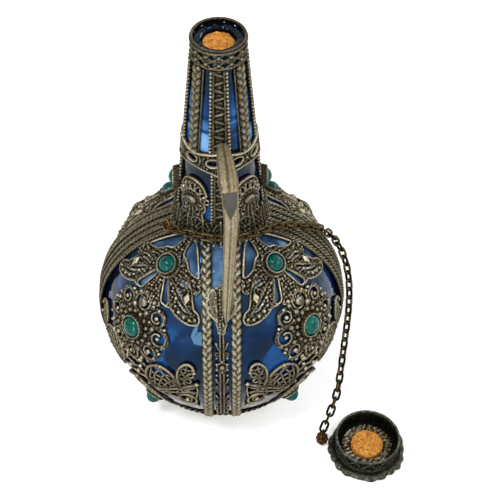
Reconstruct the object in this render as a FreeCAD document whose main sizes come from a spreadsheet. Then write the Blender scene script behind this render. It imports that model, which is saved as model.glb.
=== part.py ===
import FreeCAD, Part
import math
import os
import types

import Sketcher

# Filigree-cased glass flask: a blue glass ball with a tall neck, held in a case of braided straps,
# leaf and flower plates and set stones, with a cork, a loop handle and a cap on a chain.
# Millimetres and degrees. The origin is the centre of the foot on the table, +Z is up, the handle
# is towards -Y, and the cap lies upside down on the table towards +X and -Y.

DIMENSIONS = {
    # glass flask
    "belly_radius": 50.5,
    "belly_height": 47.0,
    "glass_wall": 3.0,
    "neck_foot_height": 94.0,
    "neck_foot_radius": 17.4,
    "neck_top_height": 178.6,
    "neck_top_radius": 9.6,
    "lip_radius": 9.3,
    "mouth_height": 185.6,
    "bore_radius": 6.3,
    "bore_depth": 20.0,
    # clearances
    "case_fit": 0.15,
    "cork_fit": 0.3,
    "stone_fit": 0.1,
    "seat_fit": 0.05,
    # base dish and lower hoop
    "base_floor": 1.45,
    "foot_radius": 27.0,
    "dish_height": 6.0,
    "dish_rim_radius": 33.0,
    "hoop_width": 4.4,
    # straps on the ball
    "strap_thickness": 2.4,
    "strap_width": 4.5,
    "strap_offset": 5.8,
    "strap_top": 96.2,
    "rod_width": 2.6,
    "rope_width": 6.5,
    "knot_width": 5.6,
    "knot_length": 4.0,
    "knot_height": 59.5,
    # plates on the ball
    "plate_thickness": 1.6,
    "panel_azimuth": 45.0,
    "flower_azimuth": 47.2,
    "upper_latitude": 55.0,
    "flower_latitude": 21.2,
    "lower_latitude": -37.4,
    "seat_radius": 4.9,
    "stem_width": 5.2,
    "plate_gap": 0.4,
    "plate_lap": 1.5,
    "leaf_length": 22.4,
    "leaf_width": 9.2,
    "leaf_lean": 35.0,
    "crest_length": 10.0,
    "crest_width": 6.4,
    "crest_rise": 5.9,
    "tie_length": 11.0,
    "tie_width": 6.4,
    "tie_drop": 5.0,
    "flower_radius": 7.5,
    "petal_radius": 4.4,
    "petal_reach": 11.0,
    "petal_hole_radius": 1.7,
    "petal_count": 8,
    "fan_wire": 1.6,
    "arch_length": 18.0,
    "arch_width": 14.0,
    "lower_seat_radius": 5.2,
    # stones and bezels
    "bezel_wall": 0.8,
    "bezel_height": 1.7,
    "upper_stone_radius": 3.4,
    "flower_stone_radius": 4.2,
    "lower_stone_radius": 3.4,
    "neck_stone_radius": 3.6,
    "stone_rise": 3.4,
    # neck pieces
    "neck_strap_thickness": 1.6,
    "ladder_width": 7.4,
    "ladder_foot": 107.8,
    "rung_pitch": 2.8,
    "rung_width": 1.1,
    "ladder_rail": 1.5,
    "neck_braid_width": 4.8,
    "crown_bottom": 133.5,
    "crown_top": 142.0,
    "crown_thickness": 2.4,
    "crown_hole_length": 5.2,
    "crown_hole_width": 3.4,
    "crown_hole_count": 10,
    "crown_hole_turn": 26.0,
    "rosette_height": 118.0,
    "rosette_radius": 8.6,
    "rosette_thickness": 2.2,
    "boss_length": 5.0,
    "boss_width": 3.4,
    "boss_rise": 1.6,
    "skirt_bottom": 98.0,
    "skirt_flare": 20.6,
    "skirt_neck_radius": 17.8,
    "skirt_scallop_radius": 1.9,
    "skirt_scallop_count": 16,
    "collar_wall": 1.1,
    "collar_height": 8.0,
    "collar_hole_radius": 1.2,
    "collar_lower_row": 2.2,
    "collar_upper_row": 5.8,
    "collar_row_count": 12,
    # handle
    "handle_height": 147.0,
    "handle_reach": 37.4,
    "handle_sway": 3.9,
    "handle_elbow_drop": 16.0,
    "handle_width": 7.0,
    "handle_depth": 5.0,
    "handle_foot_height": 77.5,
    "handle_foot_out": 42.0,
    "pad_thickness": 2.0,
    "pad_width": 6.4,
    "pad_bottom": 74.0,
    "pad_top": 88.0,
    # chain and its rings
    "chain_wire": 0.9,
    "link_length": 5.65,
    "link_width": 3.8,
    "link_pitch": 3.72,
    "link_roll": 60.0,
    "ring_radius": 2.2,
    "ring_wire": 0.8,
    "ring_play": 0.1,
    "eye_radius": 1.3,
    "eye_wire": 0.9,
    # cork in the neck
    "cork_length": 18.0,
    "cork_recess": 1.6,
    "cork_taper": 0.3,
    # cap
    "cap_x": 62.3,
    "cap_y": -50.2,
    "flange_radius": 15.7,
    "flange_thickness": 3.0,
    "scallop_radius": 1.5,
    "scallop_count": 24,
    "skirt_radius": 13.8,
    "skirt_wall": 0.85,
    "skirt_height": 7.5,
    "liner_radius": 10.6,
    "liner_thickness": 1.2,
    "stub_radius": 7.0,
    "stub_height": 2.8,
    "stub_chamfer": 0.5,
    "lug_angle": 168.3,
    "lug_tall": 6.4,
    "lug_wide": 4.6,
    "lug_thick": 2.0,
    "lug_lift": 0.2,
    "lug_hole_height": 4.3,
    "lug_hole_radius": 1.05,
}

# The scroll fan's rings: degrees towards the panel's edge, latitude in degrees, and radius.
FAN_RINGS = [
    (28.5, 9.0, 4.6),
    (29.5, 0.0, 4.6),
    (28.0, -9.6, 4.8),
    (20.0, -1.0, 5.0),
    (11.0, -4.0, 5.0),
]

# The chain's route, chosen by hand: round the front of the neck inside the handle, over the right
# shoulder and flank of the ball, then hanging to the ring at the cap.
CHAIN_ROUTE = [
    (-19.7, -10.4, 99.8),
    (-16.3, -15.1, 102.5),
    (-10.6, -18.7, 104.3),
    (-3.3, -21.4, 104.9),
    (4.9, -21.4, 104.6),
    (11.7, -18.4, 103.3),
    (18.1, -13.0, 100.9),
    (24.3, -7.0, 97.0),
    (31.5, -2.8, 92.8),
    (37.8, 1.1, 87.9),
    (44.2, 5.7, 80.3),
    (49.4, 8.0, 71.0),
    (53.5, 5.2, 62.1),
    (55.3, -0.4, 53.0),
    (55.0, -7.6, 43.6),
    (53.2, -16.4, 33.4),
    (51.4, -25.4, 24.0),
    (49.6, -34.1, 15.9),
    (44.0, -43.5, 8.7),
]

X_AXIS = FreeCAD.Vector(1, 0, 0)
Y_AXIS = FreeCAD.Vector(0, 1, 0)
Z_AXIS = FreeCAD.Vector(0, 0, 1)

doc = FreeCAD.newDocument("flask")
sheet = doc.addObject("Spreadsheet::Sheet", "dims")
for row, (alias, number) in enumerate(DIMENSIONS.items(), start=1):
    sheet.set(f"A{row}", alias)
    sheet.set(f"B{row}", str(number))
    sheet.setAlias(f"B{row}", alias)
doc.recompute()


class Size:
    """A length or an angle: its value now, and the formula that ties it to the sheet."""

    def __init__(self, value, formula):
        self.value = value
        self.formula = formula

    def __add__(self, other):
        other = size_of(other)
        return Size(self.value + other.value, f"({self.formula} + {other.formula})")

    def __sub__(self, other):
        other = size_of(other)
        return Size(self.value - other.value, f"({self.formula} - {other.formula})")

    def __mul__(self, other):
        other = size_of(other)
        return Size(self.value * other.value, f"({self.formula} * {other.formula})")

    def __truediv__(self, other):
        other = size_of(other)
        return Size(self.value / other.value, f"({self.formula} / {other.formula})")

    def __neg__(self):
        return Size(-self.value, f"(0 - {self.formula})")

    def __radd__(self, other):
        return size_of(other) + self

    def __rsub__(self, other):
        return size_of(other) - self

    def __rmul__(self, other):
        return size_of(other) * self

    def __rtruediv__(self, other):
        return size_of(other) / self


def size_of(number):
    """A plain number as a size, or the size itself."""
    if isinstance(number, Size):
        return number
    return Size(float(number), f"({float(number)})")


def arc_sine(ratio):
    """The angle, in degrees, whose sine is the ratio."""
    return Size(math.degrees(math.asin(ratio.value)), f"(asin({ratio.formula}) / 1 deg)")


def cosine(angle):
    """The cosine of an angle in degrees."""
    return Size(math.cos(math.radians(angle.value)), f"cos({angle.formula} * 1 deg)")


def sine(angle):
    """The sine of an angle in degrees."""
    return Size(math.sin(math.radians(angle.value)), f"sin({angle.formula} * 1 deg)")


dim = types.SimpleNamespace(
    **{alias: Size(sheet.get(alias), f"dims.{alias}") for alias in DIMENSIONS}
)
nodes = {}


def keep(name, item):
    """Makes an item one of the object's sub-parts, under its own name."""
    item.Label = name
    nodes[name] = item
    return item


def make(kind, name, **sizes):
    """A document object whose sizes are bound to the sheet."""
    item = doc.addObject(kind, name)
    for prop, size in sizes.items():
        item.setExpression(prop, size_of(size).formula)
    return item


def place(item, x=0, y=0, z=0, yaw=0, roll=0, spin=0):
    """Turns an item by spin about its own Z, tips it by roll about X, swings it by yaw, then moves it."""
    point = "; ".join(size_of(part).formula for part in (x, y, z))
    swing = f"create(<<rotation>>; {size_of(yaw).formula}; 0; {size_of(roll).formula})"
    twist = f"create(<<rotation>>; {size_of(spin).formula}; 0; 0)"
    item.setExpression("Placement", f"create(<<placement>>; create(<<vector>>; {point}); {swing} * {twist})")
    return item


def on_ball(item, azimuth, latitude, spin=0, start=0):
    """Aims an item's Z out of the ball at an azimuth and a latitude, from a distance off the centre."""
    azimuth, latitude, start = size_of(azimuth), size_of(latitude), size_of(start)
    level = start * cosine(latitude)
    height = dim.belly_height + start * sine(latitude)
    return place(item, level * sine(azimuth), -level * cosine(azimuth), height, azimuth, 90 - latitude, spin)


def on_neck(item, azimuth, height, start, spin=0):
    """Aims an item's Z level out of the neck at an azimuth, from a distance off the axis."""
    azimuth, start = size_of(azimuth), size_of(start)
    return place(item, start * sine(azimuth), -start * cosine(azimuth), height, azimuth, 90, spin)


def box(name, x, y, z):
    """A box between two limits on each axis."""
    item = make("Part::Box", name, Length=x[1] - size_of(x[0]), Width=y[1] - size_of(y[0]),
                Height=z[1] - size_of(z[0]))
    return place(item, x[0], y[0], z[0])


def cut(name, base, tool):
    """The base with the tool taken away."""
    item = doc.addObject("Part::Cut", name)
    item.Base = base
    item.Tool = tool
    return item


def common(name, base, tool):
    """What two solids share."""
    item = doc.addObject("Part::Common", name)
    item.Base = base
    item.Tool = tool
    return item


def fuse(name, *shapes):
    """One solid from several that overlap."""
    item = doc.addObject("Part::MultiFuse", name)
    item.Shapes = list(shapes)
    return item


def group(name, *shapes):
    """Separate solids held as one group."""
    item = doc.addObject("Part::Compound", name)
    item.Links = list(shapes)
    return item


def mirror(name, source, normal):
    """A mirrored copy across the plane through the origin with that normal."""
    item = doc.addObject("Part::Mirroring", name)
    item.Source = source
    item.Normal = normal
    return item


def ball(name, radius):
    """A ball about the flask's centre."""
    return place(make("Part::Sphere", name, Radius=radius), z=dim.belly_height)


def footed_ball(name, radius, floor):
    """A ball about the flask's centre, cut flat at a height above the table."""
    item = make("Part::Sphere", name, Radius=radius)
    item.setExpression("Angle1", (-arc_sine((dim.belly_height - floor) / radius)).formula)
    return place(item, z=dim.belly_height)


def ball_shell(name, thickness):
    """A shell that fits round the glass ball."""
    outer = ball(f"{name}_outer", case_inside + thickness)
    inner = ball(f"{name}_inner", case_inside)
    return cut(name, outer, inner)


def neck_cone(name, offset):
    """The glass neck's cone on a straight root that starts in the ball, grown by a radial offset."""
    taper = make("Part::Cone", f"{name}_taper", Radius1=dim.neck_foot_radius + offset,
                 Radius2=dim.neck_top_radius + offset, Height=dim.neck_top_height - dim.neck_foot_height)
    place(taper, z=dim.neck_foot_height)
    root = make("Part::Cylinder", f"{name}_root", Radius=dim.neck_foot_radius + offset,
                Height=dim.neck_foot_height - dim.belly_height)
    place(root, z=dim.belly_height)
    return fuse(name, taper, root)


def neck_shell(name, thickness):
    """A conical shell that fits round the glass neck."""
    outer = neck_cone(f"{name}_outer", dim.case_fit + thickness)
    inner = neck_cone(f"{name}_inner", dim.case_fit)
    return cut(name, outer, inner)


def neck_radius(height):
    """The glass neck's outside radius at a height."""
    share = (height - dim.neck_foot_height) / (dim.neck_top_height - dim.neck_foot_height)
    return dim.neck_foot_radius + (dim.neck_top_radius - dim.neck_foot_radius) * share


case_inside = dim.belly_radius + dim.case_fit
strap_outside = case_inside + dim.strap_thickness
plate_outside = case_inside + dim.plate_thickness
band_half = dim.strap_offset + dim.strap_width / 2
# cutting shapes start inside the glass and end outside the case
reach = dim.belly_radius * 1.25
prism_start = case_inside * 0.9
prism_length = case_inside * 0.2
neck_prism_start = dim.neck_top_radius * 0.8
neck_prism_length = dim.neck_foot_radius
neck_bezel_radius = dim.neck_stone_radius + dim.stone_fit + dim.bezel_wall
mirror_sides = {"front_right": (), "front_left": (X_AXIS,), "back_right": (Y_AXIS,),
                "back_left": (X_AXIS, Y_AXIS)}


def four_copies(name, source):
    """The front right piece and its mirrored copies, by side."""
    copies = {}
    for side, normals in mirror_sides.items():
        item = source
        for step, normal in enumerate(normals):
            item = mirror(f"{name}_{side}_turn{step}", item, normal)
        copies[side] = item
    return copies


def on_four_sides(name, source):
    """The front right piece and its mirrored copies, each a sub-part of its own."""
    for side, item in four_copies(name, source).items():
        keep(f"{name}_{side}", item)


# Glass flask
def build_glass():
    glass_floor = dim.base_floor + dim.case_fit
    lip_span = dim.mouth_height - dim.neck_top_height
    bore_bottom = dim.mouth_height - dim.bore_depth
    belly = footed_ball("glass_belly", dim.belly_radius, glass_floor)
    neck = neck_cone("glass_neck", 0)
    lip = make("Part::Cylinder", "glass_lip", Radius=dim.lip_radius, Height=lip_span)
    place(lip, z=dim.neck_top_height)
    hollow = footed_ball("glass_hollow", dim.belly_radius - dim.glass_wall, glass_floor + dim.glass_wall)
    throat = make("Part::Cone", "glass_throat", Radius1=dim.neck_foot_radius - dim.glass_wall,
                  Radius2=dim.bore_radius, Height=bore_bottom - dim.neck_foot_height + dim.glass_wall)
    throat_foot = dim.neck_foot_height - dim.glass_wall
    place(throat, z=throat_foot)
    throat_root = make("Part::Cylinder", "glass_throat_root", Radius=dim.neck_foot_radius - dim.glass_wall,
                       Height=throat_foot - dim.belly_height)
    place(throat_root, z=dim.belly_height)
    bore = make("Part::Cylinder", "glass_bore", Radius=dim.bore_radius, Height=dim.bore_depth + 1)
    place(bore, z=bore_bottom)
    outside = fuse("glass_outside", belly, neck, lip)
    inside = fuse("glass_inside", hollow, throat_root, throat, bore)
    keep("glass_flask", cut("glass_flask", outside, inside))


# Base dish and lower hoop
def build_base():
    block = make("Part::Cone", "dish_block", Radius1=dim.foot_radius, Radius2=dim.dish_rim_radius,
                 Height=dim.dish_height)
    seat = footed_ball("dish_seat", case_inside, dim.base_floor)
    keep("base_dish", cut("base_dish", block, seat))
    slab = make("Part::Cylinder", "hoop_slab", Radius=strap_outside, Height=dim.hoop_width)
    place(slab, z=dim.dish_height)
    keep("lower_hoop", common("lower_hoop", ball_shell("hoop_shell", dim.strap_thickness), slab))


# Straps on the ball
def strap(name, low, high, bottom, top, yaw, thickness=dim.strap_thickness):
    """A strip of the case between two offsets from the band's middle, on the side that yaw faces."""
    strip = make("Part::Box", f"{name}_strip", Length=high - size_of(low), Width=reach,
                 Height=top - size_of(bottom))
    # the box is turned about the flask's axis, so its corner turns with it
    corner_x = size_of(low) * cosine(size_of(yaw)) + reach * sine(size_of(yaw))
    corner_y = size_of(low) * sine(size_of(yaw)) - reach * cosine(size_of(yaw))
    place(strip, corner_x, corner_y, bottom, yaw=yaw)
    return common(name, ball_shell(f"{name}_shell", thickness), strip)


def full_strap(name, low, high, bottom, yaw, thickness=dim.strap_thickness):
    """A strap that runs up to the foot of the neck and stops against it."""
    strip = strap(f"{name}_whole", low, high, bottom, dim.strap_top, yaw, thickness)
    return cut(name, strip, neck_cone(f"{name}_neck_room", dim.case_fit))


def build_bands():
    bottom = dim.dish_height + dim.hoop_width
    inner = dim.strap_offset - dim.strap_width / 2
    for side, yaw in {"front": 0, "right": 90, "back": 180, "left": 270}.items():
        one = full_strap(f"{side}_braid_one", inner, band_half, bottom, yaw)
        two = full_strap(f"{side}_braid_two", -band_half, -inner, bottom, yaw)
        keep(f"{side}_braids", group(f"{side}_braids", one, two))
    for side, yaw in {"right": 90, "left": 270}.items():
        rope = full_strap(f"{side}_rope", -dim.rope_width / 2, dim.rope_width / 2, bottom, yaw)
        keep(f"{side}_rope", rope)
    half = dim.rod_width / 2
    rods = {"front": (0, strap("front_rod_bar", -half, half, bottom, dim.pad_bottom, 0, dim.plate_thickness)),
            "back": (180, full_strap("back_rod_bar", -half, half, bottom, 180, dim.plate_thickness))}
    for side, (yaw, rod) in rods.items():
        knot = strap(f"{side}_rod_knot", -dim.knot_width / 2, dim.knot_width / 2, dim.knot_height,
                     dim.knot_height + dim.knot_length, yaw, dim.plate_thickness)
        keep(f"{side}_rod", fuse(f"{side}_rod", rod, knot))


# Plates on the ball
def raised(name, outline, length):
    """A flat outline raised square to its own plane."""
    prism = doc.addObject("Part::Extrusion", name)
    prism.Base = outline
    prism.DirMode = "Normal"
    prism.Solid = True
    prism.setExpression("LengthFwd", size_of(length).formula)
    return prism


def oval(name, azimuth, latitude, half_length, half_width, spin=0):
    """An oval prism that runs out of the ball through the case."""
    outline = make("Part::Ellipse", f"{name}_outline", MajorRadius=half_length, MinorRadius=half_width)
    on_ball(outline, azimuth, latitude, spin, prism_start)
    return raised(name, outline, prism_length)


def disc(name, azimuth, latitude, radius):
    """A round prism that runs out of the ball through the case."""
    prism = make("Part::Cylinder", name, Radius=radius, Height=prism_length)
    return on_ball(prism, azimuth, latitude, start=prism_start)


def ball_degrees(length):
    """The angle at the ball's centre that a length on the plates takes up."""
    return length / plate_outside * (180 / math.pi)


def build_leaf_sprays():
    middle = dim.panel_azimuth
    top = dim.upper_latitude
    leaf_swing = ball_degrees(dim.leaf_length / 2 + dim.seat_radius - dim.plate_lap)
    leaf_down = leaf_swing * sine(dim.leaf_lean)
    leaf_across = leaf_swing * cosine(dim.leaf_lean) / cosine(top - leaf_down)
    tie_latitude = top - dim.tie_drop
    tie_edge = arc_sine(band_half / (plate_outside * cosine(tie_latitude)))
    tie_across = middle - tie_edge - ball_degrees(dim.tie_length / 2 - dim.plate_lap) / cosine(tie_latitude)
    flower_top = dim.flower_latitude + ball_degrees(dim.petal_reach + dim.petal_radius + dim.plate_gap)
    stem_top = top - ball_degrees(dim.seat_radius - dim.plate_lap)
    stem_half = (stem_top - flower_top) / ball_degrees(size_of(1)) / 2
    crest_latitude = top + ball_degrees(dim.crest_rise)
    pieces = [
        disc("spray_seat", middle, top, dim.seat_radius),
        oval("spray_stem", middle, (stem_top + flower_top) / 2, stem_half, dim.stem_width / 2, 90),
        oval("spray_crest", middle, crest_latitude, dim.crest_length / 2, dim.crest_width / 2, 90),
    ]
    for hand, way in {"inner": -1, "outer": 1}.items():
        leaf = oval(f"spray_leaf_{hand}", middle + leaf_across * way, top - leaf_down, dim.leaf_length / 2,
                    dim.leaf_width / 2, dim.leaf_lean * -way)
        tie = oval(f"spray_tie_{hand}", middle + tie_across * way, tie_latitude, dim.tie_length / 2,
                   dim.tie_width / 2)
        pieces += [leaf, tie]
    outline = fuse("spray_outline", *pieces)
    spray = common("spray_plate", ball_shell("spray_shell", dim.plate_thickness), outline)
    room = band_half + dim.case_fit
    front_room = box("spray_front_room", (-room, room), (-reach, 0), (0, dim.neck_foot_height * 2))
    right_room = box("spray_right_room", (0, reach), (-room, room), (0, dim.neck_foot_height * 2))
    on_four_sides("leaf_spray", cut("leaf_spray", spray, fuse("spray_room", front_room, right_room)))


def build_flowers():
    middle = dim.flower_azimuth
    petals = []
    holes = []
    for turn in range(int(dim.petal_count.value)):
        angle = math.radians(360 / dim.petal_count.value * turn)
        latitude = dim.flower_latitude + ball_degrees(dim.petal_reach) * math.sin(angle)
        azimuth = middle + ball_degrees(dim.petal_reach) * math.cos(angle) / cosine(latitude)
        petals.append(disc(f"petal_{turn}", azimuth, latitude, dim.petal_radius))
        holes.append(disc(f"petal_hole_{turn}", azimuth, latitude, dim.petal_hole_radius))
    core = disc("flower_core", middle, dim.flower_latitude, dim.flower_radius)
    pierced = cut("flower_pierced", fuse("flower_outline", core, *petals), group("petal_holes", *holes))
    flower = common("flower", ball_shell("flower_shell", dim.plate_thickness), pierced)
    on_four_sides("flower", flower)


def build_scroll_fans():
    for hand, way in {"inner": -1, "outer": 1}.items():
        rings = []
        holes = []
        for number, (across, latitude, radius) in enumerate(FAN_RINGS):
            azimuth = dim.panel_azimuth + across * way
            rings.append(disc(f"fan_{hand}_ring_{number}", azimuth, latitude, radius))
            holes.append(disc(f"fan_{hand}_hole_{number}", azimuth, latitude, radius - dim.fan_wire))
        pierced = cut(f"fan_{hand}_pierced", fuse(f"fan_{hand}_outline", *rings),
                      group(f"fan_{hand}_holes", *holes))
        common(f"fan_{hand}", ball_shell(f"fan_{hand}_shell", dim.plate_thickness), pierced)
    pair = group("scroll_fans", doc.getObject("fan_inner"), doc.getObject("fan_outer"))
    on_four_sides("scroll_fans", pair)


def build_lower_pads():
    middle = dim.panel_azimuth
    low = dim.lower_latitude
    arch_latitude = low + ball_degrees(dim.lower_seat_radius + dim.arch_length / 2 - dim.plate_lap)
    seat = disc("lower_seat", middle, low, dim.lower_seat_radius)
    arch = oval("lower_arch", middle, arch_latitude, dim.arch_length / 2, dim.arch_width / 2, 90)
    window = oval("lower_window", middle, arch_latitude, dim.arch_length / 2 - dim.fan_wire,
                  dim.arch_width / 2 - dim.fan_wire, 90)
    outline = fuse("lower_outline", cut("lower_arch_rim", arch, window), seat)
    pad = common("lower_pad", ball_shell("lower_shell", dim.plate_thickness), outline)
    keep("lower_pads", group("lower_pads", *four_copies("lower_pad", pad).values()))


# Stones and their bezels
def set_stone(name, azimuth, latitude, radius):
    """One bezel and one stone on the front right panel, seated on the plate."""
    bed = plate_outside + dim.seat_fit
    rim = make("Part::Cylinder", f"{name}_rim", Radius=radius + dim.stone_fit + dim.bezel_wall,
               Height=bed + dim.bezel_height - prism_start)
    on_ball(rim, azimuth, latitude, start=prism_start)
    opening = disc(f"{name}_opening", azimuth, latitude, radius + dim.stone_fit)
    collar = cut(f"{name}_collar", rim, opening)
    bezel = cut(f"{name}_bezel", collar, ball(f"{name}_bezel_bed", bed))
    dome = make("Part::Ellipsoid", f"{name}_dome", Radius1=dim.stone_rise, Radius2=radius, Radius3=radius)
    on_ball(dome, azimuth, latitude, start=bed)
    stone = cut(f"{name}_stone", dome, ball(f"{name}_stone_bed", bed))
    return bezel, stone


def set_neck_stone():
    """The bezel and stone on the right side of the neck, seated on the side ladder."""
    height = dim.rosette_height
    bed = neck_radius(height) + dim.case_fit + dim.neck_strap_thickness + dim.seat_fit
    bed_cone = neck_cone("neck_stone_bed", dim.case_fit + dim.neck_strap_thickness + dim.seat_fit)
    rim = make("Part::Cylinder", "neck_stone_rim", Radius=neck_bezel_radius,
               Height=bed + dim.bezel_height - neck_prism_start)
    opening = make("Part::Cylinder", "neck_stone_opening", Radius=dim.neck_stone_radius + dim.stone_fit,
                   Height=reach)
    for item in (rim, opening):
        on_neck(item, 90, height, neck_prism_start)
    collar = cut("neck_stone_collar", rim, opening)
    bezel = cut("neck_stone_bezel", collar, bed_cone)
    dome = make("Part::Ellipsoid", "neck_stone_dome", Radius1=dim.stone_rise, Radius2=dim.neck_stone_radius,
                Radius3=dim.neck_stone_radius)
    on_neck(dome, 90, height, bed)
    stone = cut("neck_stone", dome, bed_cone)
    return bezel, stone


def build_stones():
    settings = {"upper": (dim.panel_azimuth, dim.upper_latitude, dim.upper_stone_radius),
                "flower": (dim.flower_azimuth, dim.flower_latitude, dim.flower_stone_radius),
                "lower": (dim.panel_azimuth, dim.lower_latitude, dim.lower_stone_radius)}
    for name, (azimuth, latitude, radius) in settings.items():
        bezel, stone = set_stone(name, azimuth, latitude, radius)
        keep(f"{name}_bezels", group(f"{name}_bezels", *four_copies(f"{name}_bezel", bezel).values()))
        keep(f"{name}_stones", group(f"{name}_stones", *four_copies(f"{name}_stone", stone).values()))
    bezel, stone = set_neck_stone()
    keep("neck_bezels", group("neck_bezels", bezel, mirror("neck_bezel_left", bezel, X_AXIS)))
    keep("neck_stones", group("neck_stones", stone, mirror("neck_stone_left", stone, X_AXIS)))


# Neck pieces
def neck_strip(name, width, bottom, top, yaw):
    """A strip of the neck's case, on the side that yaw faces."""
    strip = make("Part::Box", f"{name}_strip", Length=width, Width=reach, Height=top - size_of(bottom))
    yaw = size_of(yaw)
    corner_x = -width / 2 * cosine(yaw) + reach * sine(yaw)
    corner_y = -width / 2 * sine(yaw) - reach * cosine(yaw)
    place(strip, corner_x, corner_y, bottom, yaw=yaw)
    return common(name, neck_shell(f"{name}_shell", dim.neck_strap_thickness), strip)


def rung_gaps(name, bottom, top, yaw):
    """The openings between a ladder's rungs, over one stretch of its height."""
    count = int((top - bottom).value / dim.rung_pitch.value) - 1
    width = dim.ladder_width - dim.ladder_rail * 2
    gaps = []
    yaw = size_of(yaw)
    for number in range(count):
        gap = make("Part::Box", f"{name}_{number}", Length=width, Width=reach,
                   Height=dim.rung_pitch - dim.rung_width)
        corner_x = -width / 2 * cosine(yaw) + reach * sine(yaw)
        corner_y = -width / 2 * sine(yaw) - reach * cosine(yaw)
        place(gap, corner_x, corner_y, bottom + dim.rung_pitch * (number + 0.6), yaw=yaw)
        gaps.append(gap)
    return group(name, *gaps)


def build_ladders():
    stretches = {"lower": (dim.ladder_foot, dim.crown_bottom),
                 "upper": (dim.crown_top, dim.neck_top_height)}
    for side, yaw in {"front": 0, "right": 90, "back": 180, "left": 270}.items():
        pieces = []
        for stretch, (bottom, top) in stretches.items():
            name = f"{side}_ladder_{stretch}"
            strip = neck_strip(f"{name}_strip_solid", dim.ladder_width, bottom, top, yaw)
            pieces.append(cut(name, strip, rung_gaps(f"{name}_gaps", bottom, top, yaw)))
        keep(f"{side}_ladder", group(f"{side}_ladder", *pieces))


def build_neck_braids():
    braid = neck_strip("neck_braid", dim.neck_braid_width, dim.crown_top, dim.neck_top_height,
                       dim.panel_azimuth)
    on_four_sides("neck_braid", braid)


def bezel_rooms(name):
    """Room round the bezels on the right and left of the neck."""
    rooms = []
    for side, azimuth in {"right": 90, "left": 270}.items():
        room = make("Part::Cylinder", f"{name}_{side}", Radius=neck_bezel_radius + dim.case_fit,
                    Height=neck_prism_length)
        rooms.append(on_neck(room, azimuth, dim.rosette_height, neck_prism_start))
    return rooms


def build_crown():
    slab = make("Part::Cylinder", "crown_slab", Radius=dim.neck_foot_radius * 2,
                Height=dim.crown_top - dim.crown_bottom)
    place(slab, z=dim.crown_bottom)
    band = common("crown_solid", neck_shell("crown_shell", dim.crown_thickness), slab)
    holes = []
    for number in range(int(dim.crown_hole_count.value)):
        outline = make("Part::Ellipse", f"crown_hole_{number}_outline", MajorRadius=dim.crown_hole_length / 2,
                       MinorRadius=dim.crown_hole_width / 2)
        azimuth = dim.crown_hole_turn + 360 / dim.crown_hole_count * number
        on_neck(outline, azimuth, (dim.crown_bottom + dim.crown_top) / 2, neck_prism_start)
        holes.append(raised(f"crown_hole_{number}", outline, neck_prism_length))
    holes += bezel_rooms("crown_bezel_room")
    keep("crown_band", cut("crown_band", band, group("crown_holes", *holes)))


def build_rosettes():
    prism = make("Part::Cylinder", "rosette_prism", Radius=dim.rosette_radius, Height=neck_prism_length)
    on_neck(prism, dim.panel_azimuth, dim.rosette_height, neck_prism_start)
    plate = common("rosette_plate", neck_shell("rosette_shell", dim.rosette_thickness), prism)
    boss = make("Part::Ellipsoid", "rosette_boss", Radius1=dim.boss_rise, Radius2=dim.boss_length / 2,
                Radius3=dim.boss_width / 2)
    face = neck_radius(dim.rosette_height) + dim.case_fit + dim.rosette_thickness
    on_neck(boss, dim.panel_azimuth, dim.rosette_height, face)
    # room for the ladders on both sides, the bezel on the right ladder, the skirt below and the crown above
    room = dim.ladder_width / 2 + dim.case_fit
    tall = (0, dim.neck_top_height)
    wide = (-reach, reach)
    front_room = box("rosette_front_room", (-room, room), (-reach, 0), tall)
    right_room = box("rosette_right_room", (0, reach), (-room, room), tall)
    skirt_room = box("rosette_skirt_room", wide, wide, (0, dim.ladder_foot + dim.case_fit))
    crown_room = box("rosette_crown_room", wide, wide, (dim.crown_bottom - dim.case_fit, dim.mouth_height))
    rooms = fuse("rosette_rooms", front_room, right_room, skirt_room, crown_room,
                 *bezel_rooms("rosette_bezel_room"))
    on_four_sides("rosette", cut("rosette", fuse("rosette_whole", plate, boss), rooms))


def build_leaf_skirt():
    height = dim.ladder_foot - dim.skirt_bottom
    flare = make("Part::Cone", "skirt_flare", Radius1=dim.skirt_flare, Radius2=dim.skirt_neck_radius,
                 Height=height)
    place(flare, z=dim.skirt_bottom)
    ring = cut("skirt_ring", flare, neck_cone("skirt_inside", dim.case_fit))
    scallops = []
    for number in range(int(dim.skirt_scallop_count.value)):
        notch = make("Part::Cylinder", f"skirt_notch_{number}", Radius=dim.skirt_scallop_radius,
                     Height=neck_prism_length)
        on_neck(notch, 360 / dim.skirt_scallop_count * number, dim.skirt_bottom, dim.neck_top_radius)
        scallops.append(notch)
    scallops += bezel_rooms("skirt_bezel_room")
    keep("leaf_skirt", cut("leaf_skirt", ring, group("skirt_notches", *scallops)))


# Bodies made from sketches
def origin_feature(body, role):
    """One of a body's own planes or axes."""
    return next(item for item in body.Origin.OriginFeatures if item.Role == role)


def sketch_on(body, role, name):
    """A sketch on one of a body's own planes."""
    sketch = body.newObject("Sketcher::SketchObject", name)
    sketch.AttachmentSupport = [(origin_feature(body, role), "")]
    sketch.MapMode = "FlatFace"
    return sketch


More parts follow.
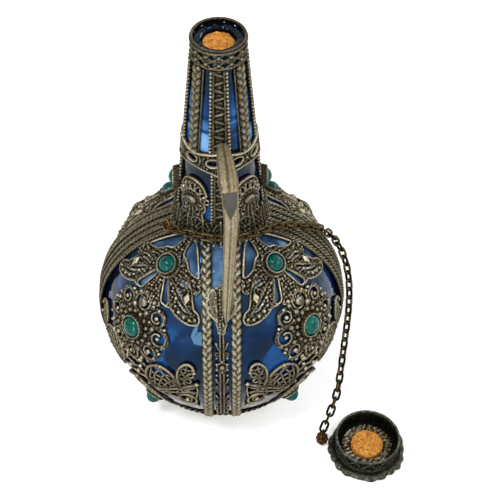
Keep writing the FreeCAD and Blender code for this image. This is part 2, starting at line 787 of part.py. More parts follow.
def sketch_circle(sketch, radius, x=0, y=0):
    """A circle whose radius and centre are bound to the sheet."""
    radius, x, y = size_of(radius), size_of(x), size_of(y)
    circle = Part.Circle(FreeCAD.Vector(x.value, y.value, 0), Z_AXIS, radius.value)
    edge = sketch.addGeometry(circle, False)
    bound = [("Radius", (edge,), radius)]
    for kind, size in (("DistanceX", x), ("DistanceY", y)):
        if size.value:
            bound.append((kind, (-1, 1, edge, 3), size))
    for kind, ends, size in bound:
        index = sketch.addConstraint(Sketcher.Constraint(kind, *ends, size.value))
        sketch.setExpression(f"Constraints[{index}]", size.formula)
    if not x.value and not y.value:
        sketch.addConstraint(Sketcher.Constraint("Coincident", edge, 3, -1, 1))
    elif not x.value:
        sketch.addConstraint(Sketcher.Constraint("PointOnObject", edge, 3, -2))
    elif not y.value:
        sketch.addConstraint(Sketcher.Constraint("PointOnObject", edge, 3, -1))


def pad(body, sketch, name, length):
    """A sketch raised by a length."""
    feature = body.newObject("PartDesign::Pad", name)
    feature.Profile = sketch
    feature.setExpression("Length", size_of(length).formula)
    return feature


def ring_of(body, feature, name, count, sweep):
    """A feature repeated evenly round the body's own Z axis."""
    pattern = body.newObject("PartDesign::PolarPattern", name)
    pattern.Originals = [feature]
    pattern.Axis = (origin_feature(body, "Z_Axis"), [""])
    pattern.setExpression("Occurrences", size_of(count).formula)
    pattern.setExpression("Angle", size_of(sweep).formula)
    body.Tip = pattern
    return pattern


def build_collar():
    body = doc.addObject("PartDesign::Body", "neck_collar")
    ring = sketch_on(body, "XY_Plane", "collar_ring")
    sketch_circle(ring, dim.lip_radius + dim.case_fit + dim.collar_wall)
    sketch_circle(ring, dim.lip_radius + dim.case_fit)
    pad(body, ring, "collar_tube", dim.collar_height)
    holes = sketch_on(body, "XZ_Plane", "collar_holes")
    for row in (dim.collar_lower_row, dim.collar_upper_row):
        sketch_circle(holes, dim.collar_hole_radius, 0, row)
    pierce = body.newObject("PartDesign::Pocket", "collar_pierce")
    pierce.Profile = holes
    pierce.Type = "ThroughAll"
    pierce.Midplane = True
    pairs = dim.collar_row_count / 2
    ring_of(body, pierce, "collar_rows", pairs, 180 - 180 / pairs)
    place(body, z=dim.neck_top_height)
    keep("neck_collar", body)


def build_corks():
    recess = dim.mouth_height - dim.cork_recess
    radius = dim.bore_radius - dim.cork_fit
    cork = make("Part::Cone", "neck_cork", Radius1=radius - dim.cork_taper, Radius2=radius,
                Height=dim.cork_length)
    keep("neck_cork", place(cork, z=recess - dim.cork_length))
    body = doc.addObject("PartDesign::Body", "cap_cork")
    face = sketch_on(body, "XY_Plane", "stub_face")
    sketch_circle(face, dim.stub_radius)
    stub = pad(body, face, "stub", dim.stub_height)
    doc.recompute()
    top_edge = next(
        number for number, edge in enumerate(stub.Shape.Edges, start=1)
        if edge.BoundBox.ZMin > stub.Shape.BoundBox.ZMax - 0.01
    )
    ease = body.newObject("PartDesign::Chamfer", "stub_ease")
    ease.Base = (stub, [f"Edge{top_edge}"])
    ease.setExpression("Size", dim.stub_chamfer.formula)
    place(body, dim.cap_x, dim.cap_y, dim.flange_thickness)
    keep("cap_cork", body)


# Cap
def build_cap():
    body = doc.addObject("PartDesign::Body", "cap_flange")
    plate = sketch_on(body, "XY_Plane", "flange_plate")
    sketch_circle(plate, dim.flange_radius)
    pad(body, plate, "flange_disc", dim.flange_thickness)
    lobe = sketch_on(body, "XY_Plane", "flange_lobe")
    sketch_circle(lobe, dim.scallop_radius, dim.flange_radius, 0)
    bump = pad(body, lobe, "flange_bump", dim.flange_thickness)
    ring_of(body, bump, "flange_scallops", dim.scallop_count, 360)
    place(body, dim.cap_x, dim.cap_y, 0, yaw=dim.lug_angle)
    keep("cap_flange", body)

    outer = make("Part::Cylinder", "cap_skirt_outer", Radius=dim.skirt_radius, Height=dim.skirt_height)
    inner = make("Part::Cylinder", "cap_skirt_inner", Radius=dim.skirt_radius - dim.skirt_wall,
                 Height=dim.skirt_height)
    for item in (outer, inner):
        place(item, dim.cap_x, dim.cap_y, dim.flange_thickness)
    keep("cap_skirt", cut("cap_skirt", outer, inner))

    washer = make("Part::Cylinder", "cap_liner_outer", Radius=dim.liner_radius, Height=dim.liner_thickness)
    opening = make("Part::Cylinder", "cap_liner_opening", Radius=dim.stub_radius + dim.stone_fit,
                   Height=dim.liner_thickness)
    for item in (washer, opening):
        place(item, dim.cap_x, dim.cap_y, dim.flange_thickness)
    keep("cap_liner", cut("cap_liner", washer, opening))


flange_edge = dim.flange_radius + dim.scallop_radius
lug_reach = flange_edge + dim.lug_wide / 2 - dim.seat_fit
lug_x = dim.cap_x + lug_reach * cosine(dim.lug_angle)
lug_y = dim.cap_y + lug_reach * sine(dim.lug_angle)


def build_lug():
    middle_height = dim.lug_lift + dim.lug_tall / 2
    # the lug's face looks along the rim, so its thickness and its hole run that way
    back_x = lug_x - sine(dim.lug_angle) * dim.lug_thick / 2
    back_y = lug_y + cosine(dim.lug_angle) * dim.lug_thick / 2
    outline = make("Part::Ellipse", "lug_outline", MajorRadius=dim.lug_tall / 2, MinorRadius=dim.lug_wide / 2)
    place(outline, back_x, back_y, middle_height, dim.lug_angle, 90, 90)
    plate = raised("lug_plate", outline, dim.lug_thick)
    hole = make("Part::Cylinder", "lug_hole", Radius=dim.lug_hole_radius, Height=dim.lug_thick)
    place(hole, back_x, back_y, dim.lug_hole_height, dim.lug_angle, 90)
    clear = make("Part::Cylinder", "lug_clear", Radius=flange_edge + dim.seat_fit, Height=dim.lug_tall * 2)
    place(clear, dim.cap_x, dim.cap_y, 0)
    keep("cap_lug", cut("cap_lug", cut("lug_pierced", plate, hole), clear))


# Handle
def build_handle():
    neck_side = neck_radius(dim.handle_height) + dim.case_fit + dim.neck_strap_thickness + dim.seat_fit
    fall = dim.handle_height - dim.handle_elbow_drop - dim.handle_foot_height
    spread = dim.handle_foot_out - dim.handle_reach
    out = dim.handle_reach - neck_side
    elbow = dim.handle_height - dim.handle_elbow_drop
    sway = dim.handle_sway
    # along the handle: sideways, outwards, height, tilt of the section, then shares of its half sizes
    stations = [
        (sway * 0.25, neck_side - dim.plate_gap, dim.handle_height, 92, 0.66, 0.88),
        (sway * 0.5, neck_side + out * 0.46, dim.handle_height + dim.plate_gap, 92, 0.86, 0.96),
        (sway * 0.82, neck_side + out * 0.84, dim.handle_height - dim.plate_lap, 112, 1, 1),
        (sway * 0.97, dim.handle_reach, dim.handle_height - dim.handle_elbow_drop * 0.5, 158, 0.94, 1),
        (sway, dim.handle_reach + spread * 0.1, elbow, 174, 0.88, 0.96),
        (sway * 0.77, dim.handle_reach + spread * 0.45, elbow - fall * 0.42, 175, 0.78, 0.92),
        (sway * 0.56, dim.handle_reach + spread * 0.78, elbow - fall * 0.76, 175, 0.68, 0.84),
        (sway * 0.44, dim.handle_foot_out, dim.handle_foot_height, 176, 0.46, 0.64),
    ]
    sections = []
    for number, (x, out_y, z, tilt, wide, deep) in enumerate(stations):
        section = make("Part::Ellipse", f"handle_section_{number}", MajorRadius=dim.handle_width / 2 * wide,
                       MinorRadius=dim.handle_depth / 2 * deep)
        place(section, x, -out_y, z, roll=tilt)
        sections.append(section)
    loft = doc.addObject("Part::Loft", "handle_loft")
    loft.Sections = sections
    loft.Solid = True
    loft.Ruled = True
    foot_seat = ball("handle_foot_seat", case_inside + dim.pad_thickness + dim.seat_fit)
    neck_seat = neck_cone("handle_neck_seat", dim.case_fit + dim.neck_strap_thickness + dim.seat_fit)
    keep("handle", cut("handle", cut("handle_on_pad", loft, foot_seat), neck_seat))
    foot_pad = strap("handle_pad", -dim.pad_width / 2, dim.pad_width / 2, dim.pad_bottom, dim.pad_top, 0,
                     dim.pad_thickness)
    keep("handle_pad", foot_pad)


# Chain
def rounded_route(points):
    """Straight runs joined by tangent arcs, each arc as large as its two runs allow."""
    points = [FreeCAD.Vector(*point) for point in points]
    edges = []
    radii = []
    start = points[0]
    for before, corner, after in zip(points, points[1:], points[2:]):
        arrive = (corner - before).normalize()
        leave = (after - corner).normalize()
        half_turn = arrive.getAngle(leave) / 2
        setback = 0.45 * min(corner.distanceToPoint(before), corner.distanceToPoint(after))
        radius = setback / math.tan(half_turn)
        first = corner - arrive * setback
        last = corner + leave * setback
        inward = (leave - arrive).normalize()
        middle = corner + inward * (radius / math.cos(half_turn) - radius)
        edges.append(Part.LineSegment(start, first).toShape())
        edges.append(Part.Arc(first, middle, last).toShape())
        radii.append(radius)
        start = last
    edges.append(Part.LineSegment(start, points[-1]).toShape())
    return Part.Wire(edges), radii


def one_link(length, width, wire):
    """A stadium-shaped link about the origin, long along X, lying in the XY plane."""
    turn = (width - wire) / 2
    half = length / 2 - wire / 2 - turn
    ends = ((half, turn), (-half, turn), (-half, -turn), (half, -turn))
    corners = [FreeCAD.Vector(x, y, 0) for x, y in ends]
    path = Part.Wire([
        Part.LineSegment(corners[0], corners[1]).toShape(),
        Part.Arc(corners[1], FreeCAD.Vector(-half - turn, 0, 0), corners[2]).toShape(),
        Part.LineSegment(corners[2], corners[3]).toShape(),
        Part.Arc(corners[3], FreeCAD.Vector(half + turn, 0, 0), corners[0]).toShape(),
    ])
    circle = Part.Circle(corners[0], X_AXIS, wire / 2)
    section = Part.Wire([circle.toShape()])
    return path.makePipeShell([section], True, True)


def frame_rotation(along, normal):
    """The turn that takes X to the along direction and Z as near as it can to the normal."""
    return FreeCAD.Rotation(along, FreeCAD.Vector(), normal, "XZY")


def square_to(vector, along):
    """The part of a vector that is square to a direction, at unit length."""
    return (vector - along * vector.dot(along)).normalize()


def end_ring_frame():
    """The last ring's centre and axis: it stands in the lug's hole, facing out of the cap's rim."""
    angle = math.radians(sheet.get("lug_angle"))
    hole = FreeCAD.Vector(lug_x.value, lug_y.value, sheet.get("lug_hole_height"))
    return hole + Z_AXIS * sheet.get("ring_radius"), FreeCAD.Vector(math.cos(angle), math.sin(angle), 0)


def link_frames():
    """Where each link sits on the route: its centre, its direction and its flat side's normal.

    Links alternate by a quarter turn, and the chain twists evenly along its length so that the last
    link lies square to the last ring."""
    route, radii = rounded_route(CHAIN_ROUTE)
    steps = round(route.Length / sheet.get("link_pitch"))
    centres = route.discretize(Number=steps + 1)
    middle = FreeCAD.Vector(0, 0, sheet.get("belly_height"))
    alongs = [(centres[min(number + 1, steps)] - centres[max(number - 1, 0)]).normalize()
              for number in range(steps + 1)]
    outwards = [square_to(centre - middle, along) for centre, along in zip(centres, alongs)]
    ring_centre, ring_axis = end_ring_frame()
    pull = square_to(centres[-1] - ring_centre, ring_axis)
    target = square_to(ring_axis.cross(pull), alongs[-1])
    end_roll = math.degrees(math.atan2(alongs[-1].dot(outwards[-1].cross(target)), outwards[-1].dot(target)))
    start_roll = sheet.get("link_roll")
    twist = (end_roll - 90 * (steps % 2) - start_roll + 90) % 180 - 90
    frames = []
    for number, (centre, along, outward) in enumerate(zip(centres, alongs, outwards)):
        roll = FreeCAD.Rotation(along, start_roll + twist * number / steps + 90 * (number % 2))
        frames.append((centre, along, roll.multVec(outward)))
    return frames, route.Length, radii


def torus_at(name, centre, axis, radius, wire):
    """A ring of round wire about a centre, with its axis along a direction."""
    ring = make("Part::Torus", name, Radius1=radius, Radius2=wire / 2)
    ring.Placement = FreeCAD.Placement(centre, FreeCAD.Rotation(Z_AXIS, axis))
    return ring


def build_chain():
    frames, length, radii = link_frames()
    pattern = one_link(sheet.get("link_length"), sheet.get("link_width"), sheet.get("chain_wire"))
    links = []
    for centre, along, normal in frames:
        link = pattern.copy()
        link.Placement = FreeCAD.Placement(centre, frame_rotation(along, normal))
        links.append(link)
    chain = doc.addObject("Part::Feature", "chain_links")
    chain.Shape = Part.makeCompound(links)
    keep("chain_links", chain)
    print(f"chain: {len(links)} links, {length:.1f} mm, bend radii",
          " ".join(f"{radius:.0f}" for radius in radii))

    # the first ring hooks the first link, and the staple's eye hooks that ring
    hook = sheet.get("link_length") / 2 - sheet.get("chain_wire") - sheet.get("ring_wire") / 2
    hook -= sheet.get("ring_play")
    start, along, normal = frames[0]
    ring_centre = start - along * (hook + sheet.get("ring_radius"))
    ring_axis = along.cross(normal)
    keep("anchor_ring", torus_at("anchor_ring", ring_centre, ring_axis, dim.ring_radius, dim.ring_wire))
    eye_centre = ring_centre - along * sheet.get("ring_radius")
    eye = torus_at("staple_eye", eye_centre, normal, dim.eye_radius, dim.eye_wire)
    outward = eye_centre - FreeCAD.Vector(0, 0, sheet.get("belly_height"))
    post = make("Part::Cylinder", "staple_post", Radius=dim.eye_wire,
                Height=size_of(outward.Length) - dim.eye_radius)
    post.Placement = FreeCAD.Placement(FreeCAD.Vector(0, 0, sheet.get("belly_height")),
                                       FreeCAD.Rotation(Z_AXIS, outward))
    bed = ball("staple_bed", strap_outside + dim.seat_fit)
    keep("chain_staple", cut("chain_staple", fuse("staple_whole", eye, post), bed))

    end_centre, end_axis = end_ring_frame()
    keep("end_ring", torus_at("end_ring", end_centre, end_axis, dim.ring_radius, dim.ring_wire))


def write_parts():
    """Checks every object, then writes each sub-part."""
    doc.recompute()
    for item in doc.Objects:
        if "Invalid" in item.State or "Error" in item.State:
            raise RuntimeError(f"{item.Label} failed: {item.State}")
    os.makedirs("parts", exist_ok=True)
    for name, item in nodes.items():
        shape = item.Shape
        if shape.isNull() or not shape.isValid() or not shape.Solids:
            raise RuntimeError(f"{name} has no sound solid")
    for name, item in nodes.items():
        item.Shape.exportStep(f"parts/{name}.step")
    print(f"{len(nodes)} sub-parts written")


build_glass()
build_base()
build_bands()
build_leaf_sprays()
build_flowers()
build_scroll_fans()
build_lower_pads()
build_stones()
build_ladders()
build_neck_braids()
build_crown()
build_rosettes()
build_leaf_skirt()
build_collar()
build_corks()
build_cap()
build_lug()
build_handle()
build_chain()
write_parts()
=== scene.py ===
import math

import bpy
import numpy as np
from mathutils import Matrix


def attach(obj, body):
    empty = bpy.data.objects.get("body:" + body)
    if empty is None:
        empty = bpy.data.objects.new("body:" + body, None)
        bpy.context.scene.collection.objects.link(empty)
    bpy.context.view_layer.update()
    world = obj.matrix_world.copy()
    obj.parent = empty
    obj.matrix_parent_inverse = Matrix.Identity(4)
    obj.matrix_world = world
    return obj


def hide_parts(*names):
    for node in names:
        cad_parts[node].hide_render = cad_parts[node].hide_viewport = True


# Looks for the filigree-cased flask: worked out in millimetres, azimuth in degrees from the front
# towards the right, latitude in degrees from the ball's level, and stored in metres.
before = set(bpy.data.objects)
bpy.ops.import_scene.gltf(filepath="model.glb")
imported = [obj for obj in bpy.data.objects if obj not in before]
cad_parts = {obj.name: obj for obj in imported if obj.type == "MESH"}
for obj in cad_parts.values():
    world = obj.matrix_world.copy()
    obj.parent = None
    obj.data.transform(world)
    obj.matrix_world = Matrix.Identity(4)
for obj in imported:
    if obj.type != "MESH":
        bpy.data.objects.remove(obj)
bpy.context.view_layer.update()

MM = 0.001
BALL_HEIGHT = 47.0
GLASS_RADIUS = 50.5
CASE_RADIUS = 50.65
PLATE_RADIUS = 52.25
GLASS_WALL = 3.0
GLASS_FLOOR = 1.6
NECK_FOOT_HEIGHT, NECK_FOOT_RADIUS = 94.0, 17.4
NECK_TOP_HEIGHT, NECK_TOP_RADIUS = 178.6, 9.6
NECK_GAP = 0.15
LIP_RADIUS = 9.3
MOUTH_HEIGHT = 185.6
BORE_RADIUS = 6.3
COLLAR_TOP = 186.6
PANEL_AZIMUTH = 45.0
CAP_X, CAP_Y = 62.3, -50.2
LUG_ANGLE = 168.3
SIDES = {"front": 0, "right": 90, "back": 180, "left": 270}
CORNERS = {"front_right": (1, 1), "front_left": (-1, 1), "back_right": (1, -1), "back_left": (-1, -1)}


# Shapes: points, faces, and wear with painted light and shade

# wear and painted shade at a wire's flanks, and how much more wear and painted highlight there is on its top
FLANK_SHADE_AND_WEAR, TOP_HIGHLIGHT_AND_WEAR = 0.16, 0.42


class Shape:
    """Points in millimetres, faces as arrays of point numbers, and a value from 0 to 1 per point for wear and
    painted light: low for tarnish and painted shade, high for rubbed metal and painted highlights.
    """

    def __init__(self, points, faces, painted_light_and_wear):
        self.points = np.asarray(points, float).reshape(-1, 3)
        self.faces = [np.asarray(block, int) for block in faces if len(block)]
        self.painted_light_and_wear = np.broadcast_to(np.asarray(painted_light_and_wear, float).ravel(), len(self.points)).copy()

    def mirrored(self, x, y):
        """The shape with its x or y turned over; one turn alone reverses the faces to keep them outward."""
        faces = self.faces if x * y > 0 else [block[:, ::-1] for block in self.faces]
        return Shape(self.points * (x, y, 1), faces, self.painted_light_and_wear)

    def turned(self, degrees):
        """The shape swung about the flask's axis."""
        c, s = math.cos(math.radians(degrees)), math.sin(math.radians(degrees))
        turn = np.array([[c, -s, 0], [s, c, 0], [0, 0, 1]])
        return Shape(self.points @ turn.T, self.faces, self.painted_light_and_wear)

    def moved(self, x, y, z):
        """The shape shifted."""
        return Shape(self.points + (x, y, z), self.faces, self.painted_light_and_wear)


def joined(shapes):
    """Several shapes as one."""
    faces = []
    start = 0
    for shape in shapes:
        faces += [block + start for block in shape.faces]
        start += len(shape.points)
    return Shape(np.concatenate([s.points for s in shapes]), faces, np.concatenate([s.painted_light_and_wear for s in shapes]))


def copies(shape, ways):
    """A shape and its mirrored copies as one."""
    return joined([shape.mirrored(*way) for way in ways])


def add_piece(name, shape, material, slot, nodes, body="bottle", sharp=50):
    """Puts a shape into a mesh at the origin, with its wear and painted light as an attribute, and rides it
    on a body.
    """
    mesh = bpy.data.meshes.new(name)
    mesh.vertices.add(len(shape.points))
    mesh.vertices.foreach_set("co", (shape.points * MM).ravel())
    corners = np.concatenate([block.ravel() for block in shape.faces])
    counts = np.concatenate([np.full(len(block), block.shape[1]) for block in shape.faces])
    mesh.loops.add(len(corners))
    mesh.loops.foreach_set("vertex_index", corners)
    mesh.polygons.add(len(counts))
    mesh.polygons.foreach_set("loop_start", np.concatenate([[0], np.cumsum(counts)[:-1]]))
    mesh.update(calc_edges=True)
    mesh.polygons.foreach_set("use_smooth", np.ones(len(counts), bool))
    mesh.set_sharp_from_angle(angle=math.radians(sharp))
    painted_light_and_wear = mesh.attributes.new("painted_light_and_wear", "FLOAT", "POINT")
    painted_light_and_wear.data.foreach_set("value", np.clip(shape.painted_light_and_wear, 0, 1).astype(np.float32))
    mesh.materials.append(material)
    piece = bpy.data.objects.new(name, mesh)
    bpy.context.scene.collection.objects.link(piece)
    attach(piece, body)
    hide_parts(*nodes)
    return piece


def unit(vectors):
    """Vectors at unit length."""
    return vectors / np.linalg.norm(vectors, axis=-1, keepdims=True)


def around(radius, angle, z):
    """Points about the flask's axis, at angles from the front towards the right."""
    return np.stack(np.broadcast_arrays(radius * np.sin(angle), -radius * np.cos(angle), z), -1)


def direction(angle):
    """Unit steps on a flat sheet, at angles from the east."""
    return np.stack([np.cos(angle), np.sin(angle)], -1)


def grid_faces(rows, columns, close_rows=False, close_columns=False):
    """Quads between neighbours of a grid, each in the order along the row, up, back, down."""
    row = np.arange(rows if close_rows else rows - 1)
    column = np.arange(columns if close_columns else columns - 1)
    r, c = (part.ravel() for part in np.meshgrid(row, column, indexing="ij"))
    r_next, c_next = (r + 1) % rows, (c + 1) % columns
    here, above = r * columns, r_next * columns
    return np.stack([here + c, above + c, above + c_next, here + c_next], 1)


def lumps(points, size, seed, waves=9):
    """Smooth uneven height from -1 to 1: a mean of cosine waves of about one size in seeded directions."""
    rng = np.random.default_rng(seed)
    ways = unit(rng.normal(size=(waves, points.shape[-1])))
    ways = ways * rng.uniform(0.6, 1.5, (waves, 1)) * 2 * np.pi / size
    starts = rng.uniform(0, 2 * np.pi, waves)
    return np.cos(points @ ways.T + starts).sum(-1) / math.sqrt(waves)


def spline(points, closed=False, per=9):
    """A smooth line through points: between each two, a cubic whose slopes follow their neighbours."""
    p1 = np.asarray(points, float)
    if closed:
        p0, p2, p3 = np.roll(p1, 1, 0), np.roll(p1, -1, 0), np.roll(p1, -2, 0)
    else:
        ends = np.concatenate([[2 * p1[0] - p1[1]], p1, [2 * p1[-1] - p1[-2]]])
        p0, p1, p2, p3 = ends[:-3], ends[1:-2], ends[2:-1], ends[3:]
    t = np.linspace(0, 1, per, endpoint=False)[None, :, None]
    p0, p1, p2, p3 = (part[:, None, :] for part in (p0, p1, p2, p3))
    line = 0.5 * (2 * p1 + (p2 - p0) * t + (2 * p0 - 5 * p1 + 4 * p2 - p3) * t ** 2
                  + (3 * p1 - p0 - 3 * p2 + p3) * t ** 3)
    line = line.reshape(-1, line.shape[-1])
    return np.concatenate([line, line[:1] if closed else p2[-1]])


def tube(line, radius, up, sides=8, flat=1.0, closed=False):
    """A wire: at each point of a line, an oval square to it, its height flat times its width.

    Its wear and painted light are high where the wire looks up, as painted highlight, and low at its flanks
    and underside, as painted shade."""
    line = np.asarray(line, float)
    up = np.broadcast_to(np.asarray(up, float), line.shape)
    if closed:
        along = unit(np.roll(line, -1, 0) - np.roll(line, 1, 0))
    else:
        along = unit(np.gradient(line, axis=0))
    side = unit(np.cross(along, up))
    up = np.cross(side, along)
    angle = np.arange(sides) * 2 * np.pi / sides
    width = np.broadcast_to(radius, len(line))[:, None, None]
    across = side[:, None] * np.cos(angle)[None, :, None] + up[:, None] * np.sin(angle)[None, :, None] * flat
    points = line[:, None] + across * width
    faces = [grid_faces(len(line), sides, close_rows=closed, close_columns=True)]
    if not closed:
        first = np.arange(sides)
        faces += [first[None], (first + (len(line) - 1) * sides)[None, ::-1]]
    # painted highlight on the wire's top, painted shade on its flanks and underside
    painted_light_and_wear = np.broadcast_to(FLANK_SHADE_AND_WEAR + TOP_HIGHLIGHT_AND_WEAR * np.sin(angle), (len(line), sides))
    return Shape(points, faces, painted_light_and_wear)


def lathe(profile, columns=128, swell=None, closed=True, painted_light_and_wear=0.5):
    """A profile of radius and height turned about the axis; swell adds to the radius by angle and step."""
    profile = np.asarray(profile, float)
    angle = np.arange(columns) * 2 * np.pi / columns
    radius = np.broadcast_to(profile[:, 0], (columns, len(profile)))
    if swell is not None:
        radius = radius + swell(angle[:, None], np.arange(len(profile))[None, :])
    points = around(radius, angle[:, None], profile[:, 1])
    faces = [grid_faces(columns, len(profile), close_rows=True, close_columns=closed)]
    if not closed:
        ring = np.arange(columns) * len(profile)
        faces += [ring[None, ::-1], (ring + len(profile) - 1)[None]]
    return Shape(points, faces, np.broadcast_to(painted_light_and_wear, radius.shape))


# Where things lie on the ball and on the neck

# a neck relief keeps its true width at this height over its underside
TRUE_HEIGHT = 1.0


def on_ball(azimuth, latitude, height):
    """Points at a height over the inside of the case on the ball."""
    tilt = np.radians(latitude)
    radius = CASE_RADIUS + height
    return around(radius * np.cos(tilt), np.radians(azimuth), BALL_HEIGHT + radius * np.sin(tilt))


def neck_radius(z):
    """The glass neck's outside radius at a height: a straight taper, then the lip."""
    share = (z - NECK_FOOT_HEIGHT) / (NECK_TOP_HEIGHT - NECK_FOOT_HEIGHT)
    taper = NECK_FOOT_RADIUS + (NECK_TOP_RADIUS - NECK_FOOT_RADIUS) * share
    return np.where(np.asarray(z) > NECK_TOP_HEIGHT, LIP_RADIUS, taper)


def on_neck(azimuth, z, height):
    """Points at a height over the neck's glass, with the case's clearance."""
    return around(neck_radius(z) + NECK_GAP + height, np.radians(azimuth), z)


class BallSheet:
    """A flat sheet laid on the ball at one point, true in length along every ray from that point."""

    def __init__(self, azimuth, latitude):
        a, b = math.radians(azimuth), math.radians(latitude)
        self.out = np.array([math.cos(b) * math.sin(a), -math.cos(b) * math.cos(a), math.sin(b)])
        self.east = np.array([math.cos(a), math.sin(a), 0.0])
        self.north = np.cross(self.out, self.east)

    def lay(self, u, v, height):
        """Points of the ball under a place on the sheet."""
        angle = np.hypot(u, v) / PLATE_RADIUS
        share = np.sinc(angle / np.pi) / PLATE_RADIUS
        step = self.east * np.asarray(u)[..., None] + self.north * np.asarray(v)[..., None]
        way = self.out * np.cos(angle)[..., None] + step * share[..., None]
        return way * (CASE_RADIUS + np.asarray(height))[..., None] + (0, 0, BALL_HEIGHT)

    def at(self, places):
        """Sheet places of points given as azimuth and latitude."""
        places = np.asarray(places, float)
        way = unit(on_ball(places[..., 0], places[..., 1], 0) - (0, 0, BALL_HEIGHT))
        angle = np.arccos(np.clip(way @ self.out, -1, 1))
        stretch = PLATE_RADIUS / np.sinc(angle / np.pi)
        return np.stack([way @ self.east * stretch, way @ self.north * stretch], -1)

    def folded(self, places):
        """The same, with both sides of the sheet's middle laid over each other."""
        spots = self.at(places)
        return np.stack([np.abs(spots[..., 0]), spots[..., 1]], -1)


def neck_sheet(azimuth, middle):
    """A lay function for a sheet wrapped on the neck at an azimuth; v is the height above the middle."""
    def lay(u, v, height):
        z = v + middle
        spread = np.degrees(u / (neck_radius(middle) + NECK_GAP + TRUE_HEIGHT))
        return on_neck(azimuth + spread, z, height)
    return lay


# Pierced reliefs

# depth of a place far from any metal, and how far a plate's edge drops
BARE_DEPTH, EDGE_DROP = -9.0, 0.35
# a net of granules repeats after so many cells; the push and the least size are shares of spacing and radius
GRAIN_CELLS, GRAIN_PUSH, LEAST_GRAIN = 64, 0.3, 0.65
# how many cells an edge may be drawn in, and the least slope it is drawn along
EDGE_CELLS, LEAST_SLOPE = 1.5, 0.2
# heights of the metal's edge and of the ground beside it, in millimetres
EDGE_HEIGHT, GROUND_HEIGHT = 0.25, 0.3
# wear and painted light: its level, its gain with height above the surroundings (painted shade in hollows,
# painted highlight on proud parts), and how far these reach
SHADE_AND_WEAR_LEVEL, SHADE_AND_WEAR_GAIN, SHADE_AND_WEAR_REACH = 0.2, 1.2, 0.9


def line_distance(u, v, line):
    """The least distance from each place to a chain of straight runs."""
    best = np.full(np.shape(u), np.inf)
    for (ax, ay), (bx, by) in zip(line[:-1], line[1:]):
        dx, dy = bx - ax, by - ay
        share = np.clip(((u - ax) * dx + (v - ay) * dy) / max(dx * dx + dy * dy, 1e-9), 0, 1)
        np.minimum(best, np.hypot(u - ax - share * dx, v - ay - share * dy), out=best)
    return best


def outline_depth(u, v, outline):
    """How deep each place lies inside a closed outline, below zero outside it."""
    inside = np.zeros(np.shape(u), bool)
    for (ax, ay), (bx, by) in zip(outline[:-1], outline[1:]):
        if ay != by:
            inside ^= ((ay > v) != (by > v)) & (u < (bx - ax) * (v - ay) / (by - ay) + ax)
    distance = line_distance(u, v, outline)
    return np.where(inside, distance, -distance)


def granules(u, v, spacing, radius, seed):
    """Heights of small domes, one to a cell of a square net, each pushed off its middle by chance."""
    rng = np.random.default_rng(seed)
    count = GRAIN_CELLS
    push = rng.uniform(-GRAIN_PUSH, GRAIN_PUSH, (count, count, 2)) * spacing
    size = rng.uniform(LEAST_GRAIN, 1.0, (count, count)) * radius
    column, row = np.floor(u / spacing).astype(int), np.floor(v / spacing).astype(int)
    best = np.zeros(np.shape(u))
    for step in range(9):
        c, r = column + step % 3 - 1, row + step // 3 - 1
        off = push[r % count, c % count]
        gap = (u - (c + 0.5) * spacing - off[..., 0]) ** 2 + (v - (r + 0.5) * spacing - off[..., 1]) ** 2
        best = np.maximum(best, np.sqrt(np.maximum(size[r % count, c % count] ** 2 - gap, 0)))
    return best


def blurred(field, cells):
    """Each value's mean over a square of cells around it."""
    for axis in (0, 1):
        padded = np.concatenate([np.repeat(field.take([0], axis), cells + 1, axis), field,
                                 np.repeat(field.take([-1], axis), cells, axis)], axis)
        total = np.cumsum(padded, axis)
        size = field.shape[axis]
        field = (total.take(range(2 * cells + 1, 2 * cells + 1 + size), axis)
                 - total.take(range(size), axis)) / (2 * cells + 1)
    return field


